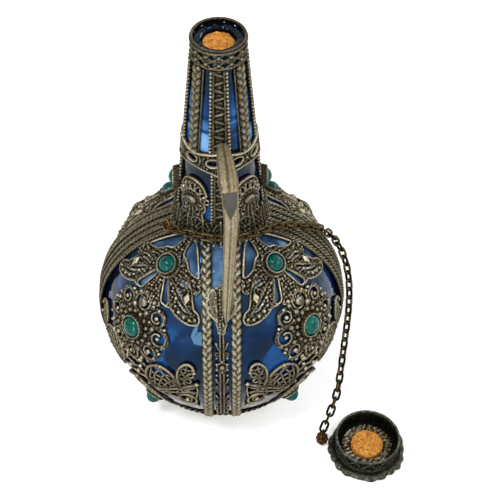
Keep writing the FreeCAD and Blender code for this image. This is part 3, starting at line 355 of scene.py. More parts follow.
class Relief:
    """A pierced relief on a grid: how deep each place lies in the metal, and how high the metal stands.

    Each ornament raises the depth or the height to its own profile: flat for a plate, a half circle for
    wires and beads. u and v are places on the sheet, and a and b the places where ornaments are drawn,
    which differ where a pattern is folded to repeat."""

    def __init__(self, left, right, bottom, top, step=0.2, round_trip=False):
        across = np.linspace(left, right, int(round((right - left) / step)) + 1)
        self.round_trip = round_trip
        if round_trip:
            across = across[:-1]
        self.step = step
        self.u, self.v = np.meshgrid(across, np.arange(bottom, top + step / 2, step))
        self.a, self.b = self.u, self.v
        self.depth = np.full(self.u.shape, BARE_DEPTH)
        self.rise = np.zeros(self.u.shape)
        self.polish = np.zeros(self.u.shape)

    def fold(self, period, start=0.0):
        """Repeats what is drawn, every period across."""
        self.a = (self.u - start + period / 2) % period - period / 2
        return self

    def fold_middle(self):
        """Draws the same on both sides of the sheet's middle."""
        self.a = np.abs(self.u)
        return self

    def plate(self, outline, rise, edge=0.5, polish=0.0):
        """A plate with eased edges, its top brighter by its polish."""
        depth = outline_depth(self.a, self.b, outline)
        self.depth = np.maximum(self.depth, depth)
        self.polish = np.where(depth > 0, polish, self.polish)
        height = rise - EDGE_DROP * np.clip(1 - depth / edge, 0, 1) ** 2
        self.rise = np.where(depth > 0, np.maximum(self.rise, height), self.rise)
        return self

    def window(self, outline):
        """An opening through the metal."""
        self.depth = np.minimum(self.depth, -outline_depth(self.a, self.b, outline))
        return self

    def grain(self, spacing, radius, seed, share=0.7):
        """Small domes all over the metal laid so far."""
        domes = granules(self.u, self.v, spacing, radius, seed) * share
        self.rise = self.rise + np.where(self.depth > 0, domes, 0)
        return self

    def wire(self, line, radius, lift=0.6):
        """A half-round wire along a line."""
        return self.ridge(line_distance(self.a, self.b, line), radius, lift)

    def ridge(self, distance, radius, lift):
        """Metal nearer than a radius to something, with a half-circle top."""
        self.depth = np.maximum(self.depth, radius - distance)
        top = lift + np.sqrt(np.maximum(radius ** 2 - distance ** 2, 0))
        self.rise = np.where(distance < radius, np.maximum(self.rise, top), self.rise)
        return self

    def beads(self, places, radius, lift=0.9):
        """Round beads at places."""
        for u, v in np.atleast_2d(places):
            self.ridge(np.hypot(self.a - u, self.b - v), radius, lift)
        return self

    def ring(self, place, radius, wire, lift=0.6):
        """A round wire ring."""
        return self.ridge(np.abs(np.hypot(self.a - place[0], self.b - place[1]) - radius), wire, lift)

    def disc(self, place, radius, rise):
        """A round plate."""
        depth = radius - np.hypot(self.a - place[0], self.b - place[1])
        self.depth = np.maximum(self.depth, depth)
        self.rise = np.where(depth > 0, np.maximum(self.rise, rise), self.rise)
        return self

    def hole(self, place, radius):
        """A round opening."""
        self.depth = np.minimum(self.depth, np.hypot(self.a - place[0], self.b - place[1]) - radius)
        return self

    def shape(self, lay):
        """The relief as a closed solid: cells that reach into the metal, their outer corners drawn to its
        edge, walls down to the glass, and an underside. Wear and painted light follow how far a place stands
        above those around it: painted shade in hollows, painted highlight on proud parts."""
        rows, columns = self.u.shape
        slope_v, slope_u = np.gradient(self.depth, self.step)
        steep = np.maximum(slope_u ** 2 + slope_v ** 2, LEAST_SLOPE)
        pull = np.clip(np.where(self.depth < 0, -self.depth, 0), 0, EDGE_CELLS * self.step) / steep
        u, v = self.u + slope_u * pull, self.v + slope_v * pull
        cells = grid_faces(rows, columns, close_columns=self.round_trip)[:, [0, 3, 2, 1]]
        metal = (self.depth > 0).ravel()
        cells = cells[metal[cells].any(1)]
        used, cells = np.unique(cells, return_inverse=True)
        cells = cells.reshape(-1, 4)
        count = len(used)
        top_height = np.where(self.depth > 0, self.rise, EDGE_HEIGHT)
        nearby = blurred(np.where(self.depth > 0, top_height, GROUND_HEIGHT), round(SHADE_AND_WEAR_REACH / self.step))
        # painted shade where a place lies below those around it, painted highlight where it stands above
        # them, with the plates' polish added
        painted_light_and_wear = SHADE_AND_WEAR_LEVEL + SHADE_AND_WEAR_GAIN * (top_height - nearby) + self.polish
        pu, pv = u.ravel()[used], v.ravel()[used]
        points = np.concatenate([lay(pu, pv, top_height.ravel()[used]), lay(pu, pv, np.zeros(count))])
        edges = np.concatenate([cells[:, [k, (k + 1) % 4]] for k in range(4)])
        lone = ~np.isin(edges[:, 1] * count + edges[:, 0], edges[:, 0] * count + edges[:, 1])
        p, q = edges[lone].T
        walls = np.stack([q, p, p + count, q + count], 1)
        faces = [np.concatenate([cells, cells[:, ::-1] + count, walls])]
        return Shape(points, faces, np.concatenate([painted_light_and_wear.ravel()[used], np.zeros(count)]))


def circle(place, radius, squash=1.0, turn=0.0, count=28):
    """A closed round or oval outline."""
    t = np.linspace(0, 2 * np.pi, count)
    x, y = radius * np.cos(t), radius * squash * np.sin(t)
    c, s = math.cos(math.radians(turn)), math.sin(math.radians(turn))
    return np.stack([place[0] + x * c - y * s, place[1] + x * s + y * c], -1)


# Finishes

BLACK = (0.0, 0.0, 0.0)
# noise scales per metre of a metal's patches and fine grain, and how much the grain shifts its wear and
# painted light
PATCH_SCALE, GRAIN_SCALE, GRAIN_SHIFT = 260.0, 1500.0, 0.45


def feed(tree, socket, value):
    """Links another socket to a socket, or sets its number or colour."""
    if isinstance(value, bpy.types.NodeSocket):
        tree.links.new(value, socket)
    elif isinstance(value, tuple):
        socket.default_value = (*value, 1)
    else:
        socket.default_value = value


def feed_all(tree, node, values):
    """Feeds a node's inputs, given by name or number."""
    for name, value in values.items():
        feed(tree, node.inputs[name], value)


def add_node(tree, kind, values=(), **settings):
    """A node with its settings and its inputs."""
    node = tree.nodes.new(f"ShaderNode{kind}")
    for name, value in settings.items():
        setattr(node, name, value)
    feed_all(tree, node, dict(values))
    return node


def new_material(name):
    """A node material, its tree and shader, and places on the object."""
    material = bpy.data.materials.new(name)
    material.use_nodes = True
    tree = material.node_tree
    return material, tree, tree.nodes["Principled BSDF"], add_node(tree, "TexCoord").outputs["Object"]


def add_painted_light_and_wear(tree):
    """The wear and painted light stored at each point."""
    return add_node(tree, "Attribute", attribute_name="painted_light_and_wear").outputs["Fac"]


def add_noise(tree, place, scale, detail=4.0, roughness=0.6):
    """A noise texture on object coordinates."""
    values = {"Vector": place, "Scale": scale, "Detail": detail, "Roughness": roughness}
    return add_node(tree, "TexNoise", values).outputs["Fac"]


def add_math(tree, operation, *operands):
    """A number worked out from numbers and sockets."""
    return add_node(tree, "Math", enumerate(operands), operation=operation).outputs[0]


def add_range(tree, value, start, end, low=0.0, high=1.0):
    """A number carried from the range low to high over to the range start to end."""
    values = {"Value": value, "From Min": low, "From Max": high, "To Min": start, "To Max": end}
    return add_node(tree, "MapRange", values).outputs["Result"]


def add_ramp(tree, source, stops):
    """A colour ramp fed from a socket."""
    ramp = add_node(tree, "ValToRGB", {"Fac": source})
    while len(ramp.color_ramp.elements) < len(stops):
        ramp.color_ramp.elements.new(0.5)
    for element, (position, colour) in zip(ramp.color_ramp.elements, stops):
        element.position = position
        element.color = (*colour, 1)
    return ramp.outputs["Color"]


def add_mix(tree, kind, share, first, second):
    """Two colours mixed by a share."""
    values = {"Factor": share, 6: first, 7: second}
    return add_node(tree, "Mix", values, data_type="RGBA", blend_type=kind).outputs[2]


def add_bump(tree, shader, height, strength, distance):
    """Bump from a height socket."""
    bump = add_node(tree, "Bump", {"Strength": strength, "Distance": distance, "Height": height})
    feed(tree, shader.inputs["Normal"], bump.outputs["Normal"])


def old_metal(name, stops, tint, roughness=(0.3, 0.6), metallic=0.85):
    """Tarnished metal: dark where it is worn least and in painted shade, bright where it stands proud and in
    painted highlights, with patches of tint.
    """
    material, tree, shader, place = new_material(name)
    patches = add_noise(tree, place, PATCH_SCALE)
    fine = add_noise(tree, place, GRAIN_SCALE, detail=3.0)
    uneven = add_math(tree, "MULTIPLY_ADD", fine, 2 * GRAIN_SHIFT, -GRAIN_SHIFT)
    # the stored wear and painted light, shifted by the fine grain; the ramp colours it from tarnish and
    # painted shade to rubbed metal and painted highlight
    height = add_math(tree, "ADD", add_painted_light_and_wear(tree), uneven)
    patch_share = add_ramp(tree, patches, [(0.42, BLACK), (0.68, (0.8, 0.8, 0.8))])
    smooth, rough = roughness
    feed_all(tree, shader, {
        "Base Color": add_mix(tree, "MULTIPLY", patch_share, add_ramp(tree, height, stops), tint),
        "Roughness": add_range(tree, height, rough, smooth),
        "Metallic": metallic,
        "Specular IOR Level": 0.25,
        "Specular Tint": (0.6, 0.57, 0.5),
    })
    add_bump(tree, shader, fine, 0.7, 0.0005)
    return material


def blue_glass():
    """Deep blue glass, from near black in painted shade through navy and cobalt to sky blue in painted
    see-through light and reflection as its painted light rises, with fine drifts and a painted slate
    reflection over the ball's shoulder."""
    material, tree, shader, place = new_material("blue_glass")
    # random unevenness of the painted light
    light_noise = add_range(tree, add_noise(tree, place, 160.0, detail=3.0), 0.86, 1.12, 0.3, 0.7)
    painted_paleness = add_math(tree, "MULTIPLY", add_painted_light_and_wear(tree), light_noise)
    # colour from painted shade through navy and cobalt to painted see-through light
    blue = add_ramp(tree, painted_paleness, [
        (0.0, (0.002, 0.002, 0.003)), (0.2, (0.001, 0.004, 0.02)), (0.4, (0.001, 0.015, 0.07)),
        (0.62, (0.003, 0.06, 0.22)), (1.0, (0.16, 0.36, 0.66)),
    ])
    # painted reflection: slate grey over the ball's shoulder
    slate_reflection = add_ramp(tree, painted_paleness, [
        (0.2, (0.008, 0.013, 0.024)), (0.5, (0.025, 0.05, 0.09)), (0.75, (0.1, 0.18, 0.29)),
        (1.0, (0.3, 0.43, 0.58)),
    ])
    # the painted reflection's share by height in metres
    height = add_node(tree, "SeparateXYZ", {0: place}).outputs["Z"]
    reflection_most = (0.8, 0.8, 0.8)
    reflection_share = add_ramp(tree, height, [(0.066, BLACK), (0.08, reflection_most), (0.097, reflection_most), (0.106, BLACK)])
    feed_all(tree, shader, {
        "Base Color": add_mix(tree, "MIX", reflection_share, blue, slate_reflection),
        "Roughness": 0.05,
        "IOR": 1.5,
        "Specular IOR Level": 0.25,
        "Specular Tint": (0.3, 0.65, 1.0),
    })
    add_bump(tree, shader, add_noise(tree, place, 70.0, detail=2.0), 0.35, 0.004)
    return material


def teal_stone():
    """A polished green stone with cloudy veins."""
    material, tree, shader, place = new_material("teal_stone")
    clouds = add_noise(tree, place, 520.0, detail=5.0)
    feed_all(tree, shader, {
        "Base Color": add_ramp(tree, clouds, [(0.3, (0.0, 0.03, 0.026)), (0.75, (0.0, 0.13, 0.1))]),
        "Roughness": 0.1,
        "Specular IOR Level": 0.16,
    })
    return material


def rough_cork():
    """Cork: warm orange grain with dark pits and thin wandering cracks."""
    material, tree, shader, place = new_material("rough_cork")
    grain = add_noise(tree, place, 900.0, detail=6.0, roughness=0.7)
    warm = add_ramp(tree, grain, [
        (0.28, (0.16, 0.04, 0.006)), (0.45, (0.5, 0.19, 0.028)), (0.75, (0.8, 0.42, 0.1)),
    ])
    pits = add_node(tree, "TexVoronoi", {"Vector": place, "Scale": 420.0}).outputs["Distance"]
    pit_share = add_ramp(tree, pits, [(0.1, (0.9, 0.9, 0.9)), (0.24, BLACK)])
    pitted = add_mix(tree, "MIX", pit_share, warm, (0.09, 0.025, 0.008))
    wander = add_noise(tree, place, 300.0, detail=2.0)
    crack_share = add_ramp(tree, wander, [(0.46, BLACK), (0.49, (0.75, 0.75, 0.75)), (0.52, BLACK)])
    feed_all(tree, shader, {
        "Base Color": add_mix(tree, "MIX", crack_share, pitted, (0.2, 0.06, 0.012)),
        "Roughness": 0.85,
        "Specular IOR Level": 0.2,
    })
    add_bump(tree, shader, grain, 0.8, 0.0006)
    return material


# each metal's ramp: tarnish and painted shade at its dark end, rubbed metal and painted highlights at its
# bright end
silver = old_metal(
    "tarnished_silver",
    [(0.05, (0.004, 0.0035, 0.003)), (0.4, (0.095, 0.086, 0.058)), (0.9, (0.44, 0.41, 0.31))],
    (0.78, 0.66, 0.5))
pale_silver = old_metal(
    "pale_silver",
    [(0.1, (0.075, 0.073, 0.066)), (0.2, (0.1, 0.066, 0.03)), (0.5, (0.25, 0.218, 0.14)),
     (0.9, (0.43, 0.39, 0.29))],
    (0.86, 0.8, 0.66), roughness=(0.4, 0.6), metallic=0.6)
pewter = old_metal(
    "dark_pewter",
    [(0.1, (0.004, 0.004, 0.0035)), (0.5, (0.05, 0.05, 0.04)), (0.95, (0.26, 0.265, 0.21))],
    (0.75, 0.72, 0.6))
chain_brass = old_metal(
    "chain_brass",
    [(0.1, (0.008, 0.005, 0.002)), (0.45, (0.065, 0.047, 0.018)), (0.95, (0.3, 0.235, 0.11))],
    (0.7, 0.6, 0.45), roughness=(0.28, 0.5))
bronze = old_metal(
    "bronze_ring",
    [(0.1, (0.06, 0.022, 0.006)), (0.5, (0.24, 0.105, 0.03)), (0.95, (0.5, 0.31, 0.14))],
    (0.8, 0.65, 0.5), roughness=(0.25, 0.45))
cap_crust = old_metal(
    "cap_crust",
    [(0.1, (0.008, 0.006, 0.004)), (0.45, (0.11, 0.085, 0.055)), (0.95, (0.5, 0.46, 0.36))],
    (0.75, 0.62, 0.45), metallic=0.6)
rust = old_metal(
    "rusty_lug",
    [(0.1, (0.03, 0.012, 0.006)), (0.5, (0.16, 0.07, 0.03)), (0.95, (0.42, 0.24, 0.12))],
    (0.7, 0.55, 0.45), roughness=(0.45, 0.75), metallic=0.6)
glass = blue_glass()
stone = teal_stone()
cork = rough_cork()


def add_silver(name, shape, *nodes):
    """A piece in the case's own silver."""
    return add_piece(name, shape, silver, "tarnished_silver", nodes)


# Camera, light and floor

# a direction close to upright that no lamp looks along
NEARLY_UP = (0.01, 0.02, 1)


def add_posed(name, data, right, up, back, place):
    """An object that looks away from its back, with its right and up given."""
    matrix = np.eye(4)
    matrix[:3] = np.stack([right, up, back, place], -1)
    holder = bpy.data.objects.new(name, data)
    holder.matrix_world = Matrix(matrix.tolist())
    bpy.context.scene.collection.objects.link(holder)
    return holder


def add_camera():
    """The photograph's view: where the camera stands, and its own right and up."""
    camera = bpy.data.cameras.new("camera")
    camera.lens = 90.2
    camera.sensor_width = 36.0
    camera.clip_start = 0.01
    camera.clip_end = 20.0
    right = np.array([0.99976, -0.02032, 0.00866])
    up = np.array([0.00903, 0.73376, 0.67935])
    place = np.array([1.516, -355.937, 459.448]) * MM
    bpy.context.scene.camera = add_posed("camera", camera, right, up, np.cross(right, up), place)


def add_lamp(name, place, aim, size, power):
    """A soft oblong lamp that looks at a point."""
    lamp = bpy.data.lights.new(name, "AREA")
    lamp.shape = "RECTANGLE"
    lamp.size, lamp.size_y = size
    lamp.energy = power
    away = unit(np.array(place) - np.array(aim))
    side = unit(np.cross(NEARLY_UP, away))
    add_posed(name, lamp, side, np.cross(away, side), away, place)


def backdrop_share(tree):
    """One where a surface is seen, also mirrored or through glass, and zero for the light it gives."""
    path = add_node(tree, "LightPath")
    share = path.outputs["Is Camera Ray"]
    for ray in ("Is Glossy Ray", "Is Transmission Ray"):
        share = add_math(tree, "MAXIMUM", share, path.outputs[ray])
    return share


def add_world():
    """White to the eye, and a plain soft grey as light."""
    world = bpy.data.worlds.new("studio")
    world.use_nodes = True
    tree = world.node_tree
    strength = add_range(tree, backdrop_share(tree), 0.3, 1.0)
    feed_all(tree, tree.nodes["Background"], {"Color": (1, 1, 1), "Strength": strength})
    bpy.context.scene.world = world


def add_floor():
    """A wide white table that keeps the shadow; its far parts, which the lamps miss, glow a little more."""
    material, tree, shader, place = new_material("white_table")
    tree.nodes.remove(shader)
    distance = add_node(tree, "VectorMath", {0: place}, operation="LENGTH").outputs["Value"]
    lift = add_range(tree, distance, 0.42, 0.8, 0.35, 1.6)
    matt = add_node(tree, "BsdfDiffuse", {"Color": (0.8, 0.8, 0.8)})
    glow = add_node(tree, "Emission", {"Strength": add_math(tree, "MULTIPLY", backdrop_share(tree), lift)})
    both = add_node(tree, "AddShader", {0: matt.outputs[0], 1: glow.outputs[0]})
    feed(tree, tree.nodes["Material Output"].inputs["Surface"], both.outputs[0])
    half = 3.0
    mesh = bpy.data.meshes.new("table")
    corners = [(-half, -half, 0), (half, -half, 0), (half, half, 0), (-half, half, 0)]
    mesh.from_pydata(corners, [], [(0, 1, 2, 3)])
    mesh.materials.append(material)
    table = bpy.data.objects.new("table", mesh)
    bpy.context.scene.collection.objects.link(table)


bpy.context.scene.view_settings.view_transform = "Standard"
add_camera()
add_world()
add_floor()
add_lamp("key_lamp", (-0.35, -0.35, 1.0), (0, 0, 0.08), (0.28, 0.28), 8.0)
add_lamp("fill_lamp", (0.75, -0.25, 0.6), (0, 0, 0.08), (0.5, 0.5), 4.0)
add_lamp("back_lamp", (0.75, 0.55, 0.55), (0, 0, 0.1), (0.6, 0.4), 4.0)
add_lamp("left_window", (-0.33, -0.83, 0.22), (0, 0, 0.08), (0.16, 0.42), 3.5)


# Chain

CHAIN_ROUTE = [
    (-19.7, -10.4, 99.8),
    (-16.3, -15.1, 102.5),
    (-10.6, -18.7, 104.3),
    (-3.3, -21.4, 104.9),
    (4.9, -21.4, 104.6),
    (11.7, -18.4, 103.3),
    (18.1, -13.0, 100.9),
    (24.3, -7.0, 97.0),
    (31.5, -2.8, 92.8),
    (37.8, 1.1, 87.9),
    (44.2, 5.7, 80.3),
    (49.4, 8.0, 71.0),
    (53.5, 5.2, 62.1),
    (55.3, -0.4, 53.0),
    (55.0, -7.6, 43.6),
    (53.2, -16.4, 33.4),
    (51.4, -25.4, 24.0),
    (49.6, -34.1, 15.9),
    (44.0, -43.5, 8.7),
]
CHAIN_WIRE = 1.1
LINK_LENGTH, LINK_WIDTH, LINK_PITCH = 6.05, 3.8, 3.72
LINK_ROLL, MIDDLE_ROLL = -48.0, 28.0
RING_RADIUS, RING_WIRE, RING_PLAY = 2.2, 0.8, 0.1
EYE_RADIUS, EYE_WIRE = 1.3, 0.9
# radii of the staple's post from its foot up, and how far its foot stands above the plates
POST_RADII, POST_LIFT = [1.3, 1.0, 0.8, 0.8, 0.7], 0.85
# links at each end that are not rolled on, and the links over which the roll sets in
END_LINKS, EASE_LINKS = 2, 5
# a direction that no wire runs along
ASKEW = (0.3, 0.5, 0.8)
LUG_REACH = 19.45
LUG_HOLE_HEIGHT = 4.3


def chain_line():
    """Points along the chain's route: a spline drawn by the route's points, read from a bare curve."""
    curve = bpy.data.curves.new("chain_route", "CURVE")
    curve.dimensions = "3D"
    run = curve.splines.new("NURBS")
    run.points.add(len(CHAIN_ROUTE) - 1)
    run.points.foreach_set("co", np.array([(*point, 1) for point in CHAIN_ROUTE]).ravel())
    run.order_u = 3
    run.use_endpoint_u = True
    run.resolution_u = 12
    holder = bpy.data.objects.new("chain_route", curve)
    mesh = bpy.data.meshes.new_from_object(holder)
    points = np.empty(3 * len(mesh.vertices), np.float32)
    mesh.vertices.foreach_get("co", points)
    bpy.data.objects.remove(holder)
    bpy.data.curves.remove(curve)
    bpy.data.meshes.remove(mesh)
    return points.reshape(-1, 3).astype(float)


def even_points(line, count):
    """Points at equal lengths along a line."""
    along = np.concatenate([[0], np.cumsum(np.linalg.norm(np.diff(line, axis=0), axis=1))])
    where = np.linspace(0, along[-1], count)
    return np.stack([np.interp(where, along, axis) for axis in line.T], -1), along[-1]


def square_to(vectors, along):
    """The part of vectors that is square to a direction, at unit length."""
    return unit(vectors - along * (vectors * along).sum(-1, keepdims=True))


def stadium_link():
    """One link: a round wire along two straight runs and two half circles."""
    turn = (LINK_WIDTH - CHAIN_WIRE) / 2
    half = (LINK_LENGTH - CHAIN_WIRE) / 2 - turn
    angle = np.linspace(-np.pi / 2, np.pi / 2, 7)
    right = np.stack([half + turn * np.cos(angle), turn * np.sin(angle), 0 * angle], -1)
    line = np.concatenate([right, right * (-1, -1, 1)])
    return tube(line, CHAIN_WIRE / 2, (0, 0, 1), sides=6, closed=True)


def wire_ring(centre, axis, radius, wire):
    """A round ring of wire about an axis."""
    axis = unit(np.asarray(axis, float))
    first = square_to(np.array(ASKEW), axis)
    angle = np.linspace(0, 2 * np.pi, 28, endpoint=False)[:, None]
    line = centre + radius * (first * np.cos(angle) + np.cross(axis, first) * np.sin(angle))
    return tube(line, wire / 2, axis, sides=10, closed=True)


def add_chain():
    """Links a quarter turn apart, twisted evenly so that the last lies square to the last ring, and all but
    the end ones rolled on a little further."""
    line = chain_line()
    _, length = even_points(line, 2)
    steps = round(length / LINK_PITCH)
    centres, _ = even_points(line, steps + 1)
    padded = np.concatenate([centres[:1], centres, centres[-1:]])
    along = unit(padded[2:] - padded[:-2])
    outward = square_to(centres - (0, 0, BALL_HEIGHT), along)
    angle = math.radians(LUG_ANGLE)
    ring_axis = np.array([math.cos(angle), math.sin(angle), 0.0])
    hole = np.array([CAP_X, CAP_Y, 0]) + ring_axis * LUG_REACH + (0, 0, LUG_HOLE_HEIGHT)
    end_centre = hole + (0, 0, RING_RADIUS)
    pull = square_to(centres[-1] - end_centre, ring_axis)
    target = square_to(np.cross(ring_axis, pull), along[-1])
    end_roll = math.degrees(math.atan2(along[-1] @ np.cross(outward[-1], target), outward[-1] @ target))
    twist = (end_roll - 90 * (steps % 2) - LINK_ROLL + 90) % 180 - 90
    number = np.arange(steps + 1)
    ease = np.clip(np.minimum(number - END_LINKS, steps - END_LINKS - number) / EASE_LINKS, 0, 1)
    roll = np.radians(LINK_ROLL + twist * number / steps + MIDDLE_ROLL * ease + 90 * (number % 2))[:, None]
    normal = outward * np.cos(roll) + np.cross(along, outward) * np.sin(roll)
    across = np.cross(normal, along)
    link = stadium_link()
    links = [Shape(centre + link.points @ np.stack([x, y, z]), link.faces, link.painted_light_and_wear)
             for centre, x, y, z in zip(centres, along, across, normal)]
    chain = add_piece("chain", joined(links), chain_brass, "chain_brass", ["chain_links"])
    hook = LINK_LENGTH / 2 - CHAIN_WIRE - RING_WIRE / 2 - RING_PLAY
    first_centre = centres[0] - along[0] * (hook + RING_RADIUS)
    first_ring = wire_ring(first_centre, np.cross(along[0], normal[0]), RING_RADIUS, RING_WIRE)
    anchor = add_piece("first_ring", first_ring, bronze, "bronze_ring", ["anchor_ring"])
    last_ring = wire_ring(end_centre, ring_axis, RING_RADIUS, RING_WIRE)
    last = add_piece("last_ring", last_ring, chain_brass, "chain_brass", ["end_ring"])
    eye_centre = first_centre - along[0] * RING_RADIUS
    eye = wire_ring(eye_centre, normal[0], EYE_RADIUS, EYE_WIRE)
    way = unit(eye_centre - (0, 0, BALL_HEIGHT))
    foot = way * (PLATE_RADIUS + POST_LIFT) + (0, 0, BALL_HEIGHT)
    head = eye_centre - way * EYE_RADIUS
    post = tube(np.linspace(foot, head, len(POST_RADII)), POST_RADII, ASKEW, sides=10)
    add_piece("chain_eye", joined([eye, post]), chain_brass, "chain_brass", ["chain_staple"])


add_chain()


# Glass, base and stones

# turned shapes stop this short of their axis
AXIS_GAP = 0.4
BORE_DEPTH = 20.0
BASE_RIBS = 72
# heights, and how much painted light the glass has there: painted shade at the mouth and under the crown,
# painted see-through light and reflection on the neck and shoulder
GLASS_LIGHT_LEVELS = [
    (0, 0.16), (36, 0.16), (58, 0.2), (65, 0.24), (74, 0.38), (84, 0.55), (92, 0.62), (97, 0.48),
    (108, 0.66), (116, 0.66), (121, 0.3), (128, 0.1), (140, 0.15), (143, 0.78), (149.5, 0.82), (150.5, 0.36),
    (152, 0.6), (155.5, 0.66), (157, 0.34), (158.5, 0.6), (164, 0.56), (168, 0.28), (174, 0.1), (180, 0.03),
    (190, 0.0),
]
# the same for the pale patches of painted reflection on the ball
REFLECTION_PATCH_LEVELS = [(20, 0), (30, 0.58), (70, 0.58), (84, 0)]


def painted_glass_light(points):
    """How much painted light the glass has: by height, painted shade at the mouth and under the crown and
    painted see-through light between them, and more again on the ball's shoulder as painted reflection; over
    it wide uneven drifts, and on the ball some pale patches of painted reflection."""
    level = np.interp(points[:, 2], *np.array(GLASS_LIGHT_LEVELS).T)
    uneven_painted_light = level * (1 + 0.3 * lumps(points, 22.0, 101) + 0.1 * lumps(points, 7.0, 102))
    # pale patches of painted reflection on the ball
    patches = np.clip((lumps(points, 30.0, 104) - 0.6) / 0.25, 0, 1)
    patches *= np.interp(points[:, 2], *np.array(REFLECTION_PATCH_LEVELS).T)
    return np.maximum(uneven_painted_light, patches)


def add_glass():
    """The flask's wall: up the outside of the ball, neck and lip, and down the inside; its lip is uneven."""
    def ball_run(radius, low, high, count):
        first, last = (math.asin((z - BALL_HEIGHT) / radius) for z in (low, high))
        angle = np.linspace(first, last, count)
        return np.stack([radius * np.cos(angle), BALL_HEIGHT + radius * np.sin(angle)], -1)

    neck_height = np.linspace(NECK_FOOT_HEIGHT + 0.9, NECK_TOP_HEIGHT, 150)
    inner_floor = GLASS_FLOOR + GLASS_WALL
    profile = np.concatenate([
        [(AXIS_GAP, GLASS_FLOOR)],
        ball_run(GLASS_RADIUS, GLASS_FLOOR, NECK_FOOT_HEIGHT, 90),
        np.stack([neck_radius(neck_height), neck_height], -1),
        [(LIP_RADIUS, NECK_TOP_HEIGHT + 0.4), (LIP_RADIUS, MOUTH_HEIGHT - 0.6),
         (LIP_RADIUS - 0.2, MOUTH_HEIGHT - 0.15), (LIP_RADIUS - 0.7, MOUTH_HEIGHT),
         (BORE_RADIUS + 0.5, MOUTH_HEIGHT - 0.1), (BORE_RADIUS, MOUTH_HEIGHT - 0.6),
         (BORE_RADIUS, MOUTH_HEIGHT - BORE_DEPTH)],
        ball_run(GLASS_RADIUS - GLASS_WALL, inner_floor, NECK_FOOT_HEIGHT - GLASS_WALL, 60)[::-1],
        [(AXIS_GAP, inner_floor)],
    ])
    flask = lathe(profile, 200, closed=False)
    crust = np.clip((flask.points[:, 2] - MOUTH_HEIGHT + 0.5) / 0.5, 0, 1)
    flask.points[:, 2] += 0.14 * crust * lumps(flask.points, 1.6, 103)
    # the glass stores its painted light and shade in the same attribute
    flask.painted_light_and_wear = painted_glass_light(flask.points)
    add_piece("blue_flask", flask, glass, "blue_glass", ["glass_flask"], sharp=40)


def add_base():
    """The dish: a flared foot with a finely ribbed edge, turned under the ball."""
    profile = [(AXIS_GAP, 0.0), (25.6, 0.0), (26.8, 0.4), (28.2, 1.6), (30.2, 3.6), (31.6, 4.6), (32.6, 5.2),
               (32.9, 5.8), (32.4, 6.1), (31.4, 6.0), (27.8, 4.3), (22.0, 1.6), (AXIS_GAP, 1.45)]

    def ribs(angle, step):
        return 0.28 * np.cos(angle * BASE_RIBS) * ((step >= 4) & (step <= 7))

    painted_light_and_wear = 0.3 + 0.25 * (np.arange(len(profile)) % 3 == 1)
    add_silver("base_dish_turned", lathe(profile, 6 * BASE_RIBS, ribs, closed=False, painted_light_and_wear=painted_light_and_wear), "base_dish")


def set_at(shape, frame_at):
    """A shape about the origin, moved to a frame; its own front (-y) turns to the frame's south."""
    place, east, north, out = frame_at
    return Shape(place + shape.points @ np.stack([east, north, out]), shape.faces, shape.painted_light_and_wear)


def domed(radius, rise, frame_at, sides=28):
    """A cabochon: half an ellipsoid over a round base, set in a frame of place, east, north and out."""
    tilt = np.linspace(0, 0.97, 9) * np.pi / 2
    profile = np.stack([radius * np.cos(tilt), rise * np.sin(tilt)], -1)
    profile = np.concatenate([[(radius * 0.7, -0.3), (radius, -0.3)], profile])
    return set_at(lathe(profile, sides, closed=False, painted_light_and_wear=0.5), frame_at)


def bezel_ring(radius, height, frame_at, foot, teeth=22):
    """A stone's rim: a low wall with a rolled, notched top, standing on its foot."""
    inner, outer = radius + 0.05, radius + 0.7
    profile = [(outer + 0.25, foot), (outer + 0.2, 0.25), (outer - 0.05, 0.6), (outer - 0.1, height - 0.4),
               (outer - 0.25, height), (inner + 0.1, height - 0.05), (inner, height - 0.4), (inner, foot)]

    def notches(angle, step):
        return 0.2 * np.cos(angle * teeth) * (step < 4)

    # painted shade at the rim's foot and inside, painted highlight and wear on its rolled top
    painted_light_and_wear = [0.0, 0.2, 0.1, 0.4, 0.68, 0.55, 0.15, 0.05]
    return set_at(lathe(profile, teeth * 4, notches, painted_light_and_wear=painted_light_and_wear), frame_at)


def ball_frame(azimuth, latitude, radius):
    """A place on the ball with its east, north and out."""
    sheet = BallSheet(azimuth, latitude)
    return sheet.out * radius + (0, 0, BALL_HEIGHT), sheet.east, sheet.north, sheet.out


STONE_BED = PLATE_RADIUS + 0.05
STONE_RISE, RIM_HEIGHT = 3.4, 1.7
UPPER_LATITUDE, LOWER_LATITUDE = 55.0, -37.4
FLOWER_AZIMUTH, FLOWER_LATITUDE = 47.2, 21.2
# azimuth, latitude, radius and rise of each stone, and the height of its rim
STONES = {
    "upper": (PANEL_AZIMUTH, UPPER_LATITUDE, 3.75, STONE_RISE, RIM_HEIGHT),
    "flower": (FLOWER_AZIMUTH, FLOWER_LATITUDE, 4.45, STONE_RISE, RIM_HEIGHT),
    "lower": (PANEL_AZIMUTH, LOWER_LATITUDE, 3.5, 4.4, 1.1),
}
NECK_STONE_HEIGHT, NECK_STONE_RADIUS, NECK_STONE_BED = 118.0, 3.6, 1.65


def add_set(name, place, radius, rise, rim_height, ways, foot=-0.3):
    """A stone and its rim in a frame, with their mirrored copies, as two pieces."""
    stones = copies(domed(radius, rise, place), ways)
    add_piece(f"{name}_cabochons", stones, stone, "teal_stone", [f"{name}_stones"])
    add_silver(f"{name}_rims", copies(bezel_ring(radius, rim_height, place, foot), ways), f"{name}_bezels")


